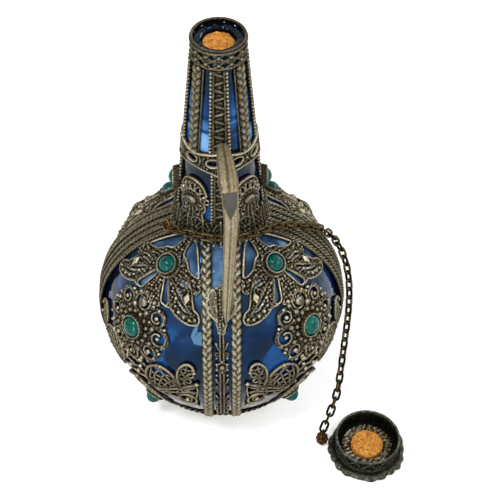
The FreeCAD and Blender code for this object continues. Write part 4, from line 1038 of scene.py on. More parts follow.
def add_stones():
    """Three stones on each panel, and one on each side of the neck."""
    for name, (azimuth, latitude, *sizes) in STONES.items():
        add_set(name, ball_frame(azimuth, latitude, STONE_BED), *sizes, CORNERS.values())
    bed = float(neck_radius(NECK_STONE_HEIGHT)) + NECK_GAP + NECK_STONE_BED
    east, north, out = np.array([[0, 1.0, 0], [0, 0, 1.0], [1.0, 0, 0]])
    place = np.array([bed, 0, NECK_STONE_HEIGHT]), east, north, out
    add_set("neck", place, NECK_STONE_RADIUS, STONE_RISE, RIM_HEIGHT, ((1, 1), (-1, 1)), foot=-2.2)


add_glass()
add_base()
add_stones()


# Braids, ropes and hoops

STRAP_FOOT, STRAP_HEAD = 10.4, 96.0
BRAID_OFFSET = 5.8
# ropes on the side bands: offset, height and length of one twist
OUTER_ROPES = [(4.15, 1.5, 3.6), (5.8, 0.95, 4.4), (7.5, 1.35, 3.2)]
MIDDLE_ROPES = [(-2.5, 1.6, 4.0), (-0.85, 0.85, 3.0), (0.8, 1.45, 4.6), (2.45, 0.9, 3.4)]
# heights of the foot hoop's ropes and of the plain wires between them
HOOP_ROPES, HOOP_WIRES = (6.9, 9.5, 12.1), (8.2, 10.8)
HOOP_TURNS = 48


def ball_strip(offset, low, high, height, step=0.55):
    """A line up the front of the ball at an offset from its middle plane, with its ways out and sideways."""
    radius = CASE_RADIUS + height
    ring = math.sqrt(radius ** 2 - offset ** 2)
    ends = [math.asin(np.clip((z - BALL_HEIGHT) / ring, -1, 1)) for z in (low, high)]
    angle = np.linspace(*ends, int(ring * (ends[1] - ends[0]) / step))
    out = np.stack([np.full(len(angle), offset), -ring * np.cos(angle), ring * np.sin(angle)], -1) / radius
    line = out * radius + (0, 0, BALL_HEIGHT)
    side = unit(np.cross(np.gradient(line, axis=0), out))
    return line, out, side, ring * (angle - angle[0])


def swayed(line, out, side, sideways, outwards):
    """A line moved sideways and outwards by an amount at each point."""
    return line + side * sideways[:, None] + out * outwards[:, None]


def plait(line, out, side, run, sway, period, radius, depth=0.55, flat=0.75, dull=0.12):
    """A plait of three strands: each sways as a sine along the run and rises as a sine twice as fast, and its
    wear and painted light follow its rise, painted shade where it dips under the others and painted highlight
    where it rises, less how dull the plait is."""
    sides = 8
    strands = []
    for third in range(3):
        phase = 2 * np.pi * (run / period + third / 3)
        path = swayed(line, out, side, sway * np.sin(phase), depth * np.sin(2 * phase))
        strand = tube(path, radius, out, sides=sides, flat=flat)
        # painted highlight where a strand rises over the others, painted shade where it dips under them
        strand.painted_light_and_wear += 0.24 * np.repeat(np.sin(2 * phase), sides) - dull
        strands.append(strand)
    return strands


def twist(line, out, side, run, spread, period, radius):
    """Two strands wound round a line like a rope."""
    sides = 6
    strands = []
    for part in range(2):
        phase = 2 * np.pi * (run / period + part / 2)
        path = swayed(line, out, side, spread * np.cos(phase), spread * np.sin(phase))
        strand = tube(path, radius, out, sides=sides)
        # painted highlight where a strand winds outward, painted shade where it winds in, all a little darker
        strand.painted_light_and_wear += 0.16 * np.repeat(np.sin(phase), sides) - 0.15
        strands.append(strand)
    return strands


def braid_pair():
    """Two plaits, each on a thin strap darkened as painted shade beneath it, up the front of the ball."""
    pieces = []
    for offset in (-BRAID_OFFSET, BRAID_OFFSET):
        pieces += plait(*ball_strip(offset, STRAP_FOOT, STRAP_HEAD, 1.35), 1.25, 10.2, 0.9)
        line, out, _, _ = ball_strip(offset, STRAP_FOOT, STRAP_HEAD, 0.5)
        strap = tube(line[::2], 1.95, out[::2], sides=8, flat=0.2)
        # painted shade: the strap under the plait is darkened
        strap.painted_light_and_wear -= 0.25
        pieces.append(strap)
    return joined(pieces)


def side_ropes(ropes):
    """Thin ropes side by side up the ball."""
    pieces = []
    for offset, height, period in ropes:
        pieces += twist(*ball_strip(offset, STRAP_FOOT, STRAP_HEAD, height), 0.4, period, 0.5)
    return joined(pieces)


def hoop_line(z, height, angle):
    """A ring round the ball at a height over the case's inside, with its ways out."""
    line = around(math.sqrt((CASE_RADIUS + height) ** 2 - (z - BALL_HEIGHT) ** 2), angle, z)
    return line, unit(line - (0, 0, BALL_HEIGHT))


def hoop():
    """Three twisted ropes round the foot of the ball with plain wires between them."""
    pieces = []
    spread, radius = 0.5, 0.6
    angle = np.linspace(0, 2 * np.pi, HOOP_TURNS * 10, endpoint=False)
    for z in HOOP_ROPES:
        line, out = hoop_line(z, 1.15, angle)
        side = np.cross(np.stack([np.cos(angle), np.sin(angle), 0 * angle], -1), out)
        for part in range(2):
            phase = angle * HOOP_TURNS + np.pi * part
            path = swayed(line, out, side, spread * np.cos(phase), spread * np.sin(phase))
            pieces.append(tube(path, radius, out, sides=6, closed=True))
    angle = np.linspace(0, 2 * np.pi, 200, endpoint=False)
    for z in HOOP_WIRES:
        line, out = hoop_line(z, 0.7, angle)
        pieces.append(tube(line, 0.75, out, sides=8, closed=True))
    return joined(pieces)


def add_bands():
    """Plaits at the front and back, ropes at the sides, and the hoop round the foot."""
    pair = braid_pair()
    for side in ("front", "back"):
        add_silver(f"{side}_plaits", pair.turned(SIDES[side]), f"{side}_braids")
    outer = side_ropes(OUTER_ROPES + [(-offset, height, period) for offset, height, period in OUTER_ROPES])
    middle = side_ropes(MIDDLE_ROPES)
    for side in ("right", "left"):
        add_silver(f"{side}_outer_ropes", outer.turned(SIDES[side]), f"{side}_braids")
        add_silver(f"{side}_ropes", middle.turned(SIDES[side]), f"{side}_rope")
    add_silver("foot_hoop", hoop(), "lower_hoop")


def rod_relief(low, high):
    """The band's middle: twin wires, a knotted flower boss and small leaves and curls branching off them."""
    relief = Relief(-3.4, 3.4, low, high).fold_middle()
    relief.wire([(0.0, low), (0.0, high)], 0.35, 0.35)
    relief.wire([(0.72, low), (0.72, high)], 0.5, 0.5)
    boss = 13.2
    relief.disc((0, boss), 2.3, 0.9)
    relief.ring((0, boss), 2.0, 0.42, 0.8)
    relief.beads([(0, boss)], 1.25, 0.9)
    relief.beads([(2.2, boss + 1.3), (2.2, boss - 1.3)], 0.62, 0.8)
    relief.beads([(0, boss + 2.6), (0, boss - 2.6)], 0.7, 0.8)
    for height in (-33.0, -26.0, -16.0, -7.0, 4.0, 22.0):
        relief.wire(spline([(0.7, height - 1.5), (1.7, height + 0.3), (2.5, height + 2.2)]), 0.45, 0.5)
        relief.ring((1.9, height - 2.8), 0.75, 0.32, 0.5)
    relief.beads([(2.3, -20.5), (2.3, -11.5), (2.3, 8.6), (2.3, 17.5)], 0.5, 0.6)
    return relief


def seat_relief():
    """The handle's seat: a granulated tongue between two veined leaf lobes."""
    relief = Relief(-7.6, 7.6, 28.0, 49.0).fold_middle()
    outline = spline([(0, 28.3), (1.3, 28.8), (1.6, 31), (2.9, 34.5), (2.9, 40), (3.2, 46), (0, 48.5)])
    outline = np.concatenate([outline, outline[::-1] * (-1, 1)])
    relief.plate(outline, 1.2, polish=0.12).grain(1.35, 0.58, 5, share=0.85)
    relief.wire(outline, 0.42, 0.9)
    lobe = [(1.5, 33.4), (4.0, 35.0), (6.3, 37.4), (7.0, 41.0), (6.2, 44.6), (4.0, 46.8), (2.3, 45.0),
            (1.7, 39.5)]
    relief.plate(spline(lobe, closed=True), 2.3, edge=1.6, polish=0.16)
    veins = (
        [(1.9, 34.6), (4.0, 38.4), (5.5, 43.8)],
        [(2.0, 38.0), (3.0, 42.0), (4.1, 45.6)],
        [(2.6, 34.6), (5.0, 37.4), (6.4, 41.4)],
    )
    for vein in veins:
        relief.wire(spline(vein), 0.5, 1.95)
    relief.beads([(3.0, 40.0), (5.0, 39.6), (4.0, 36.6), (5.4, 42.2), (2.6, 43.2)], 0.5, 2.05)
    return relief


def add_rods():
    """The stems between the front and back plaits, and the seat under the handle's foot."""
    sheet = BallSheet(0, 0)
    add_silver("front_stem", rod_relief(-40.5, 29.0).shape(sheet.lay), "front_rod")
    add_silver("back_stem", rod_relief(-40.5, 58.0).shape(sheet.lay).turned(180), "back_rod")
    add_silver("handle_seat", seat_relief().shape(sheet.lay), "handle_pad")


add_bands()
add_rods()


# Plates on the ball: drawn for the front right panel and turned over for the others

SPRAY_LATITUDE, ARCH_LATITUDE = 52, -28
FAN_AZIMUTH, FAN_LATITUDE = 24, -2
# how much of their wear and painted light the flowers keep, which darkens them
FLOWER_LIGHT_AND_WEAR_SHARE = 0.86
SLIT_HALF_WIDTH = 0.42


def leaf_spray(sheet):
    """Two rimmed leaves, a stem and a crest about the upper stone, with almond and slot windows between."""
    relief = Relief(-24.5, 24.5, -17.5, 20.5, step=0.23).fold_middle()

    def mark(*places):
        return sheet.folded(places)

    def loop(*places):
        return spline(mark(*places), closed=True)

    def half(*places):
        """An outline on the front half; its last points lie on the middle line."""
        spots = mark(*places)
        return np.concatenate([spline(spots), [(0, spots[-1, 1]), (0, spots[0, 1])], spots[:1]])

    seat = sheet.at((PANEL_AZIMUTH, UPPER_LATITUDE))
    leaf = loop((39, 51.5), (31, 53.5), (24, 52), (20, 48.5), (18, 44.5), (16.2, 41), (13.4, 39.2),
                (12.2, 36.6), (13.6, 34.4), (18, 34), (23, 35.3), (27.5, 37.2), (31, 40), (34.5, 45),
                (37.5, 49.5))
    arm = loop((40, 57.5), (33, 60.3), (26.5, 56.4), (19, 54.2), (14.6, 54), (14, 49), (18, 47), (24, 49.5),
               (32, 50), (40, 52))
    relief.plate(arm, 1.2).plate(leaf, 1.15)
    relief.plate(half((45, 57), (41, 52), (41.2, 46), (38.6, 40.5), (36.5, 37.2), (40, 36), (45, 35.6)), 1.2)
    relief.plate(half((45, 73.5), (38.5, 72.5), (40.8, 67), (39.5, 62), (36, 57), (45, 52)), 1.25)
    relief.grain(1.45, 0.62, 11, share=0.85)
    slot = loop((41, 50.2), (38.8, 49.8), (35.2, 45), (32.4, 40.4), (33.6, 38.8), (37, 39.6), (39.4, 44.8),
                (41.2, 48.4))
    relief.window(slot)
    slits = (
        ((21, 49.4), (25, 50.6), (30, 51.2)),
        ((22, 41.2), (26, 43.6), (31, 47)),
        ((19, 38.2), (22.5, 39), (27, 41.4)),
    )
    for places in slits:
        distance = line_distance(relief.a, relief.b, spline(mark(*places)))
        relief.depth = np.minimum(relief.depth, distance - SLIT_HALF_WIDTH)
    almond = loop((17.6, 54.8), (20.5, 60.5), (26, 66), (33, 70), (39.5, 70.6), (40, 66), (37.6, 62.2),
                  (32.5, 60.8), (26.5, 56.8))
    relief.window(almond)
    relief.wire(almond, 0.5, 0.85).wire(slot, 0.42, 0.95).wire(leaf, 0.48, 1.0)
    relief.wire(spline(mark((38, 51), (31, 48.2), (24, 44), (18.5, 39.6), (14.8, 36.8))), 0.4, 1.1)
    relief.wire(spline(mark((39, 53.6), (32, 55.6), (26, 53.6), (19, 52.4))), 0.4, 1.15)
    relief.wire(spline(mark((33.4, 38.4), (30.4, 38.8), (29.5, 41))), 0.5, 0.9)
    long, short = np.array([-0.75, 2.3]), np.array([1.4, 0.45])
    lozenge = mark((21.6, 45.0))[0] + np.array([long, short, -long, -short, long])
    relief.plate(lozenge, 2.3, edge=0.9, polish=0.38)
    edge_beads = mark((14.6, 36.6), (17.6, 36), (21, 36.8), (24.6, 38.2), (28.4, 43.6), (35, 48.6))
    relief.beads(edge_beads, 0.85, 1.1)
    relief.beads(mark((27, 54.4), (21, 53.2), (33.6, 57.6), (16, 51.4)), 0.8, 1.1)
    relief.beads(mark((43.6, 47.5), (43, 43.4), (42.4, 39.6), (39.6, 37.6)), 0.72, 1.1)
    relief.beads(mark((42.4, 64), (42.2, 68.5)), 0.75, 1.1)
    relief.disc(seat * (0, 1), 5.2, 1.55)
    ring = np.abs(np.hypot(relief.u - seat[0], relief.v - seat[1]) - 5.15)
    notch = 0.1 * np.cos(26 * np.arctan2(relief.v - seat[1], relief.u - seat[0]))
    relief.ridge(ring, 0.5, 1.25 + notch)
    return relief.shape(sheet.lay)


# petals: turn in degrees from the east, reach, petal radius, opening radius, bead, way it curls
PETALS = [
    (92, 12.0, 5.3, 4.1, 1.9, 1),
    (134, 12.9, 4.4, 2.9, 1.0, -1),
    (174, 12.4, 5.2, 3.4, 0.9, 1),
    (216, 12.0, 4.9, 3.3, 1.1, -1),
    (266, 12.6, 4.3, 2.6, 0.9, 1),
    (313, 12.4, 4.9, 3.2, 1.1, -1),
    (2, 12.2, 4.4, 2.7, 0.8, 1),
    (47, 12.8, 4.3, 2.9, 1.0, -1),
]
# how many times a petal's wire winds, and the points along it
CURL_TURNS, CURL_POINTS = 1.3, 34
# rings of beads about the flower's middle: radius, count, bead and turn
BEAD_RINGS = [(6.9, 14, 1.02, 0), (9.1, 17, 0.7, 9), (15.6, 24, 0.7, 4)]
# how far the middle of such a bead stays from a petal's opening
BEAD_ROOM = 0.3


def flower(sheet):
    """A granulated flower: a ring of beads round the stone, petals of wire that curl in over dark openings
    to a bead, and more beads between them."""
    relief = Relief(-18.6, 18.6, -18.2, 18.6, step=0.22)
    turns, reaches, radii, openings, beads, curls = np.array(PETALS).T
    ways = np.radians(turns)
    centres = reaches[:, None] * direction(ways)
    relief.disc((0, 0), 8.8, 1.2)
    for centre, radius in zip(centres, radii):
        relief.disc(centre, radius, 1.0)
    relief.grain(1.4, 0.6, 23, share=0.85)
    for centre, opening in zip(centres, openings):
        relief.hole(centre, opening)
    winding = np.linspace(0, CURL_TURNS, CURL_POINTS)
    for way, centre, radius, bead, curl in zip(ways, centres, radii, beads, curls):
        reach = radius - 0.2 - 0.58 * radius * winding / winding[-1]
        angle = way + np.pi + curl * 2 * np.pi * winding
        relief.wire(centre + reach[:, None] * direction(angle), 0.48, 0.95)
        relief.beads([centre], bead, 0.9)
    for radius, count, size, turn in BEAD_RINGS:
        places = radius * direction(np.radians(np.arange(count) * 360 / count + turn))
        room = np.linalg.norm(places[:, None] - centres, axis=-1) - openings
        relief.beads(places[room.min(axis=1) > BEAD_ROOM], size, 1.2)
    between = np.radians([113, 154, 195, 241, 289, 337, 25, 70])
    relief.beads(9.8 * direction(between), 1.15, 1.1)
    relief.beads(14.2 * direction(between), 0.95, 0.9)
    relief.disc((0, 0), 5.3, 1.5)
    return relief.shape(sheet.lay)


# the net in a fan: how far its wires lean, a cell's width and how far a wire bows, as shares of the fan
FAN_LEAN, FAN_CELL, FAN_BOW = 0.57, 0.19, 0.02
# points along the fan's edges and along a wire, and the least of them that make a wire
EDGE_POINTS, NET_POINTS, LEAST_POINTS = 41, 13, 3


def fan_net(relief, base, dome):
    """A net of leaf-shaped cells between a fan's base and its domed rim, from wires that lean both ways."""
    edges = [even_points(line, EDGE_POINTS)[0] for line in (base, dome)]
    place_share = np.linspace(0, 1, EDGE_POINTS)
    rise = np.linspace(0, 1, NET_POINTS)
    for lean in (-FAN_LEAN, FAN_LEAN):
        for start in np.arange(-FAN_LEAN, 1 + FAN_LEAN, FAN_CELL):
            along = start + lean * rise + FAN_BOW * np.sin(np.pi * rise * 4)
            inside = (along >= 0) & (along <= 1)
            if inside.sum() < LEAST_POINTS:
                continue
            low, high = (np.stack([np.interp(along[inside], place_share, axis) for axis in edge.T], -1)
                         for edge in edges)
            relief.wire(spline(low + (high - low) * rise[inside, None]), 0.46, 0.55)


def scroll_fan(sheet):
    """Wirework: a domed fan of cells, a curled tendril above it, and a triangle and a ringed scroll below."""
    relief = Relief(-15.5, 20.0, -15.5, 17.5, step=0.23)

    def mark(*places):
        return spline(sheet.at(places))

    rims = (
        ((18.6, -3), (21, 2.4), (25, 6.2), (29.6, 7.6), (34, 5.6), (36.8, 1.6), (37.6, -4), (35.6, -9)),
        ((11, 2.4), (15, 0.4), (20, -3), (26, -7), (31.5, -10.4), (35.6, -9.4)),
        ((18.8, -3), (20.4, 2), (20.8, 7), (19.4, 11.4), (16.4, 13.8), (13.6, 12.6), (12.6, 9.8)),
    )
    arcs = (
        ((17, 0), (17.6, 4), (16.4, 7.2), (14.4, 8.6), (13.2, 11)),
        ((14.8, 4.6), (17, 6), (18.6, 8.4), (19.4, 11.2)),
        ((11.6, 3), (11.8, -4.4), (19, -2), (11.6, 3)),
        ((12, 1.0), (13.6, -1.2), (16.4, -2.2), (15.4, 0.2)),
        ((11.4, -4.4), (12.2, -9), (12.6, -14), (11.6, -17.5)),
        ((20.6, -11), (24, -13), (26.5, -10), (25, -7)),
        ((35.6, -9), (33, -12.6), (28, -14), (24.4, -13)),
        ((20, -4), (21.4, -7.6), (20.6, -11)),
        ((13.2, -5.4), (17, -5.2), (21, -7.4), (25.2, -9.6), (30, -12.6)),
        ((36.8, 1.6), (39.4, 3.4), (42.6, 2.6), (45, 3.4)),
        ((37.6, -4), (40.4, -1.6), (43, -1.4), (45, -2.4)),
        ((36.4, -8), (39.6, -6.4), (42.4, -7.2), (45, -6.4)),
    )
    for places in rims:
        relief.wire(mark(*places), 0.66, 0.7)
    for places in arcs:
        relief.wire(mark(*places), 0.44, 0.6)
    base = mark((18.8, -3), (22.4, -4.9), (26, -7), (31.5, -10.2), (35.6, -9.2))
    fan_net(relief, base, mark(*rims[0]))
    for place in sheet.at([(15.4, 11.6), (18.2, 9.4), (14.6, 7.4), (18.6, 5.6), (15.6, 3.6), (19, 2)]):
        relief.ring(place, 1.25, 0.42, 0.55)
    scroll = sheet.at((16.4, -11.4))
    relief.ring(scroll, 3.9, 0.6, 0.65)
    relief.ring(scroll + (0.7, 0.28), 2.5, 0.42, 0.65)
    beads = sheet.at([
        (12.8, 9.8), (13.4, 11.4), (18.8, -3), (36.4, -9.4), (11.6, 2.6), (26.4, -7), (20.6, -11),
        (12.2, -16.8), (29.4, 7.6), (16.4, -11.4), (40.6, 1.0), (42.4, -4.2), (41, 4.8),
    ])
    relief.beads(beads, 0.85, 0.8)
    return relief.shape(sheet.lay)


# wires of the lower arches: their points, radius and lift
ARCHES = [
    ([(32, -45), (30.6, -32), (34, -22), (40, -15.5), (45, -11.6)], 0.6, 0.65),
    ([(36.6, -45), (36.4, -33), (40, -25), (45, -18.5)], 0.5, 0.6),
    ([(45, -29), (41.6, -23), (41, -18), (45, -13)], 0.45, 0.6),
    ([(31, -36), (34, -38), (37, -34)], 0.42, 0.5),
    ([(33, -25), (37, -26), (39.4, -24)], 0.42, 0.5),
]


def lower_arch(sheet):
    """Pointed looped arches over the lower stone's round seat."""
    relief = Relief(-14.5, 14.5, -17.5, 17.0, step=0.28).fold_middle()
    for places, radius, lift in ARCHES:
        relief.wire(spline(sheet.folded(places)), radius, lift)
    seat = sheet.at((PANEL_AZIMUTH, LOWER_LATITUDE)) * (0, 1)
    relief.disc(seat, 5.6, 1.2).grain(1.1, 0.42, 31)
    relief.disc(seat, 4.9, 1.55)
    angle = np.radians(np.arange(-80, 81, 20))
    relief.beads(seat + 5.3 * direction(angle), 0.62, 1.0)
    relief.beads(sheet.folded([(45, -11.6), (45, -18.5), (40, -15.5), (34, -22)]), 0.8, 0.8)
    return relief.shape(sheet.lay)


def add_plates():
    """Leaves, flower and scrolls on each of the four panels, and the arches at their feet."""
    spray = leaf_spray(BallSheet(PANEL_AZIMUTH, SPRAY_LATITUDE))
    bloom = flower(BallSheet(FLOWER_AZIMUTH, FLOWER_LATITUDE))
    bloom.painted_light_and_wear *= FLOWER_LIGHT_AND_WEAR_SHARE
    fan = scroll_fan(BallSheet(FAN_AZIMUTH, FAN_LATITUDE))
    fans = joined([fan, fan.mirrored(-1, 1).turned(90)])
    for corner, way in CORNERS.items():
        add_silver(f"leaves_{corner}", spray.mirrored(*way), f"leaf_spray_{corner}")
        add_silver(f"bloom_{corner}", bloom.mirrored(*way), f"flower_{corner}")
        add_silver(f"scrolls_{corner}", fans.mirrored(*way), f"scroll_fans_{corner}")
    arch = lower_arch(BallSheet(PANEL_AZIMUTH, ARCH_LATITUDE))
    add_silver("foot_arches", copies(arch, CORNERS.values()), "lower_pads")


add_plates()


# Neck pieces

LADDER_FOOT, CROWN_BOTTOM, CROWN_TOP = 107.8, 133.5, 142.0
SKIRT_MIDDLE, SKIRT_RADIUS, SKIRT_LEAVES = 103.8, 18.6, 16
# heights and radii of the skirt's flare
SKIRT_FLARE = [(97.4, 19.1), (103.0, 17.9), (110.6, 16.7)]
# how much of its wear and painted light the skirt keeps, which darkens it
SKIRT_LIGHT_AND_WEAR_SHARE = 0.7
# the ladders end this far from the crown
CROWN_ROOM = 0.3
RAIL_BEAD_PITCH, RUNG_PITCH, RUNG_SLANT = 1.65, 3.4, 0.75
ROSETTE_AZIMUTH, ROSETTE_HEIGHT = PANEL_AZIMUTH - 3.5, 118.0
# the right half of a rosette's outline, from its top down
ROSETTE_EDGE = [(3.4, 8.6), (5.6, 5.8), (6.1, 2.4), (5.4, -0.6), (5.9, -3.4), (4.6, -6.4), (5.2, -9.2),
                (2.4, -8.2)]
COLLAR_CELLS = 14


def ladder(low, high):
    """Beaded rails joined by slanting rungs over a low backing left dark as painted shade, up the neck's
    front between two heights.
    """
    half = (high - low) / 2
    relief = Relief(-3.9, 3.9, -half, half)
    relief.plate([(-2.5, -half), (2.5, -half), (2.5, half), (-2.5, half), (-2.5, -half)], 0.4)
    for way in (-1, 1):
        relief.wire([(way * 2.35, -half), (way * 2.35, half)], 0.5, 0.55)
        relief.wire([(way * 3.2, -half), (way * 3.2, half)], 0.55, 0.35)
        beads = np.arange(-half + 0.8, half - 0.3, RAIL_BEAD_PITCH)
        relief.beads(np.stack([np.full(len(beads), way * 3.25), beads], -1), 0.68, 0.75)
    for number, height in enumerate(np.arange(-half + 0.5, half, RUNG_PITCH)):
        slant = RUNG_SLANT if number % 2 else -RUNG_SLANT
        relief.wire([(-2.3, height - slant), (2.3, height + slant)], 0.62, 0.3)
        relief.wire([(-1.4, height + 1.3), (1.4, height + 1.5)], 0.32, 0.2)
    return relief.shape(neck_sheet(0, (low + high) / 2))


def crown_relief(mean_radius):
    """The band round the neck: wavy edges that dip at the ladders, rimmed openings, bowed bars and beads."""
    reach = np.pi * mean_radius
    degree = reach / 180
    relief = Relief(-reach, reach, -6.4, 5.6, round_trip=True)
    ripple = np.cos(relief.u / degree * np.pi / 45)
    bottom = -4.1 + 0.9 * np.clip(-ripple, -0.4, 1) - 1.7 * np.clip(ripple, 0, 1) ** 4
    top = 4.0 - 0.8 * np.clip(-ripple, -0.2, 1) + 0.8 * np.clip(ripple, 0, 1) ** 4
    relief.depth = np.minimum(relief.v - bottom, top - relief.v)
    relief.rise = np.where(relief.depth > 0, 1.1, 0)
    relief.grain(1.05, 0.45, 41)
    relief.fold(36 * degree, 26 * degree)
    relief.window(circle((0, 0.2), 2.35, 0.66, 12))
    relief.wire(circle((0, 0.2), 2.75, 0.7, 12), 0.42, 1.2)
    for way in (-1, 1):
        relief.wire(spline([(way * 3.2, -2.6), (way * 4.1, 0.0), (way * 3.4, 2.6)]), 0.42, 1.1)
        relief.beads([(way * 2.2, -2.7), (way * 2.0, 2.9)], 0.55, 1.1)
    relief.beads([(18 * degree, 0.2)], 0.95, 1.1)
    edge = np.minimum(np.abs(relief.v - bottom - 0.4), np.abs(top - 0.4 - relief.v))
    relief.ridge(edge, 0.48, 1.15)
    return relief


def rosette():
    """A palmette: a beaded half-round fan of rimmed cells about an oval boss, running down into leaves."""
    relief = Relief(-7.4, 7.4, -10.0, 10.4).fold_middle()
    right = np.array(ROSETTE_EDGE)
    outline = np.concatenate([[(0, 9.6)], right, [(0, -9.6)], right[::-1] * (-1, 1)])
    outline = spline(outline, closed=True)
    relief.plate(outline, 1.1).grain(1.0, 0.42, 53)
    for turn in (90, 62, 34, 6):
        way = direction(math.radians(turn))
        relief.window(circle(way * (5.9, 6.0), 1.35, 0.62, turn))
        relief.wire(circle(way * (5.9, 6.0), 1.75, 0.66, turn), 0.34, 1.1)
        relief.wire([way * 2.9, way * 4.1], 0.4, 1.1)
    for way in direction(np.radians([76, 48, 20])):
        relief.beads([way * (4.3, 4.6), way * (5.7, 7.9)], 0.6, 1.15)
    for way in direction(np.radians([-20, -52, -80])):
        relief.wire(spline([way * 2.8, way * (4.4, 5.4), way * (5.2, 8.6)]), 0.45, 1.1)
    relief.window(circle((2.7, -5.4), 0.9, 0.7, 60)).window(circle((4.0, -2.6), 0.8, 0.7, 30))
    relief.wire(outline, 0.45, 0.95)
    bump = np.sqrt(np.maximum(1 - (relief.u / 2.5) ** 2 - (relief.v / 1.75) ** 2, 0))
    relief.rise = np.maximum(relief.rise, np.where(bump > 0, 1.5 + 1.5 * bump, 0))
    relief.ridge(np.abs(np.hypot(relief.u / 1.35, relief.v) - 2.35), 0.4, 1.1)
    return relief


def neck_plait():
    """A broad plait up the neck's corner between the crown and the collar, with edge wires."""
    z = np.linspace(CROWN_TOP - 0.6, NECK_TOP_HEIGHT + 0.4, 60)
    line = on_neck(PANEL_AZIMUTH, z, 0.95)
    out = unit(line * (1, 1, 0))
    side = unit(np.cross(np.gradient(line, axis=0), out))
    pieces = plait(line, out, side, z - z[0], 1.4, 9.4, 0.95, depth=0.4, flat=0.5, dull=0.2)
    for way in (-2.4, 2.4):
        edge = on_neck(PANEL_AZIMUTH, z, 0.45) + side * way - out * 0.2
        pieces.append(tube(edge[::2], 0.35, out[::2], sides=6))
    return joined(pieces)


def collar_relief(mean_radius):
    """Two tiers of open crosses between three rims, with a bead at every crossing."""
    reach = np.pi * mean_radius
    cell = 2 * reach / COLLAR_CELLS
    height = COLLAR_TOP - NECK_TOP_HEIGHT
    relief = Relief(-reach, reach, 0.0, height, step=0.18, round_trip=True)
    levels = (0.75, height * 0.5, height - 0.7)
    relief.fold(cell)
    for low, high in zip(levels[:-1], levels[1:]):
        middle = (low + high) / 2
        for way in (-1, 1):
            relief.wire([(-cell / 2, middle - way * 1.9), (cell / 2, middle + way * 1.9)], 0.56, 0.4)
        relief.beads([(0, middle)], 0.85, 0.5)
        relief.beads([(cell / 2, high), (-cell / 2, high)], 0.6, 0.4)
    for level, radius in zip(levels, (0.62, 0.5, 0.68)):
        relief.wire([(-cell, level), (cell, level)], radius, 0.45)
    return relief


def acanthus():
    """A skirt of drooping leaves: a rib with curled veins ending in beads, over a low ground left dark as
    painted shade, with a jagged hem."""
    reach = np.pi * SKIRT_RADIUS
    leaf = 2 * reach / SKIRT_LEAVES
    relief = Relief(-reach, reach, -6.4, 6.8, step=0.24, round_trip=True)
    wave = np.cos(2 * np.pi * relief.u / leaf)
    ripple = np.cos(6 * np.pi * relief.u / leaf + 0.6)
    above_hem = relief.v + 5.0 + 0.9 * wave + 0.35 * ripple
    below_top = 5.6 + 0.7 * wave - 0.3 * ripple - relief.v
    relief.depth = np.minimum(above_hem, below_top)
    relief.rise = np.where(relief.depth > 0, 0.45, 0)
    relief.fold(leaf)
    relief.wire([(0.0, 5.8), (0.15, 0.0), (0.0, -5.6)], 0.5, 0.75)
    for edge in (leaf / 2, -leaf / 2):
        relief.wire([(edge, 5.0), (edge, -3.4)], 0.36, 0.5)
    for height in (5.0, 2.7, 0.4, -1.9):
        for way in (-1, 1):
            vein = [(0, height), (way * 1.1, height - 0.6), (way * 2.2, height - 2.0),
                    (way * 2.7, height - 3.3)]
            relief.wire(spline(vein), 0.4, 0.6)
            relief.beads([(way * 2.75, height - 3.2)], 0.62, 0.7)
    relief.beads([(leaf / 2, -3.6), (-leaf / 2, -3.6)], 0.6, 0.6)
    return relief


def on_skirt(u, v, height):
    """Points of the skirt, which flares as it falls."""
    z = v + SKIRT_MIDDLE
    return around(np.interp(z, *np.array(SKIRT_FLARE).T) + height, u / SKIRT_RADIUS, z)


def star_collar():
    """The pierced collar round the lip, with a rolled wire on its top."""
    inside = LIP_RADIUS + NECK_GAP
    middle = inside + TRUE_HEIGHT

    def on_lip(u, v, height):
        return around(inside + np.asarray(height), u / middle, v + NECK_TOP_HEIGHT)

    angle = np.linspace(0, 2 * np.pi, 96, endpoint=False)
    top_line = around(middle, angle, COLLAR_TOP) * (0.93, 0.93, 1)
    rolled_top = tube(top_line, 0.62, (0, 0, 1), sides=10, closed=True)
    rolled_top.painted_light_and_wear -= 0.2
    return joined([collar_relief(middle).shape(on_lip), rolled_top])


def add_neck():
    """Ladders on the four sides, a plait and a rosette on each corner, and the crown, collar and skirt."""
    lower = ladder(LADDER_FOOT, CROWN_BOTTOM - CROWN_ROOM)
    upper = ladder(CROWN_TOP + CROWN_ROOM, NECK_TOP_HEIGHT)
    rungs = joined([lower, upper])
    for side, turn in SIDES.items():
        add_silver(f"{side}_rungs", rungs.turned(turn), f"{side}_ladder")
    broad = neck_plait()
    palmette = rosette().shape(neck_sheet(ROSETTE_AZIMUTH, ROSETTE_HEIGHT))
    for corner, way in CORNERS.items():
        add_silver(f"neck_plait_{corner}", broad.mirrored(*way), f"neck_braid_{corner}")
        add_silver(f"palmette_{corner}", palmette.mirrored(*way), f"rosette_{corner}")
    crown_middle = (CROWN_BOTTOM + CROWN_TOP) / 2
    crown = crown_relief(float(neck_radius(crown_middle)) + NECK_GAP + TRUE_HEIGHT)
    add_silver("crown", crown.shape(neck_sheet(0, crown_middle)), "crown_band")
    add_silver("star_collar", star_collar(), "neck_collar")
    frill = acanthus().shape(on_skirt)
    frill.painted_light_and_wear *= SKIRT_LIGHT_AND_WEAR_SHARE
    add_silver("leaf_frill", frill, "leaf_skirt")


add_neck()


# Handle

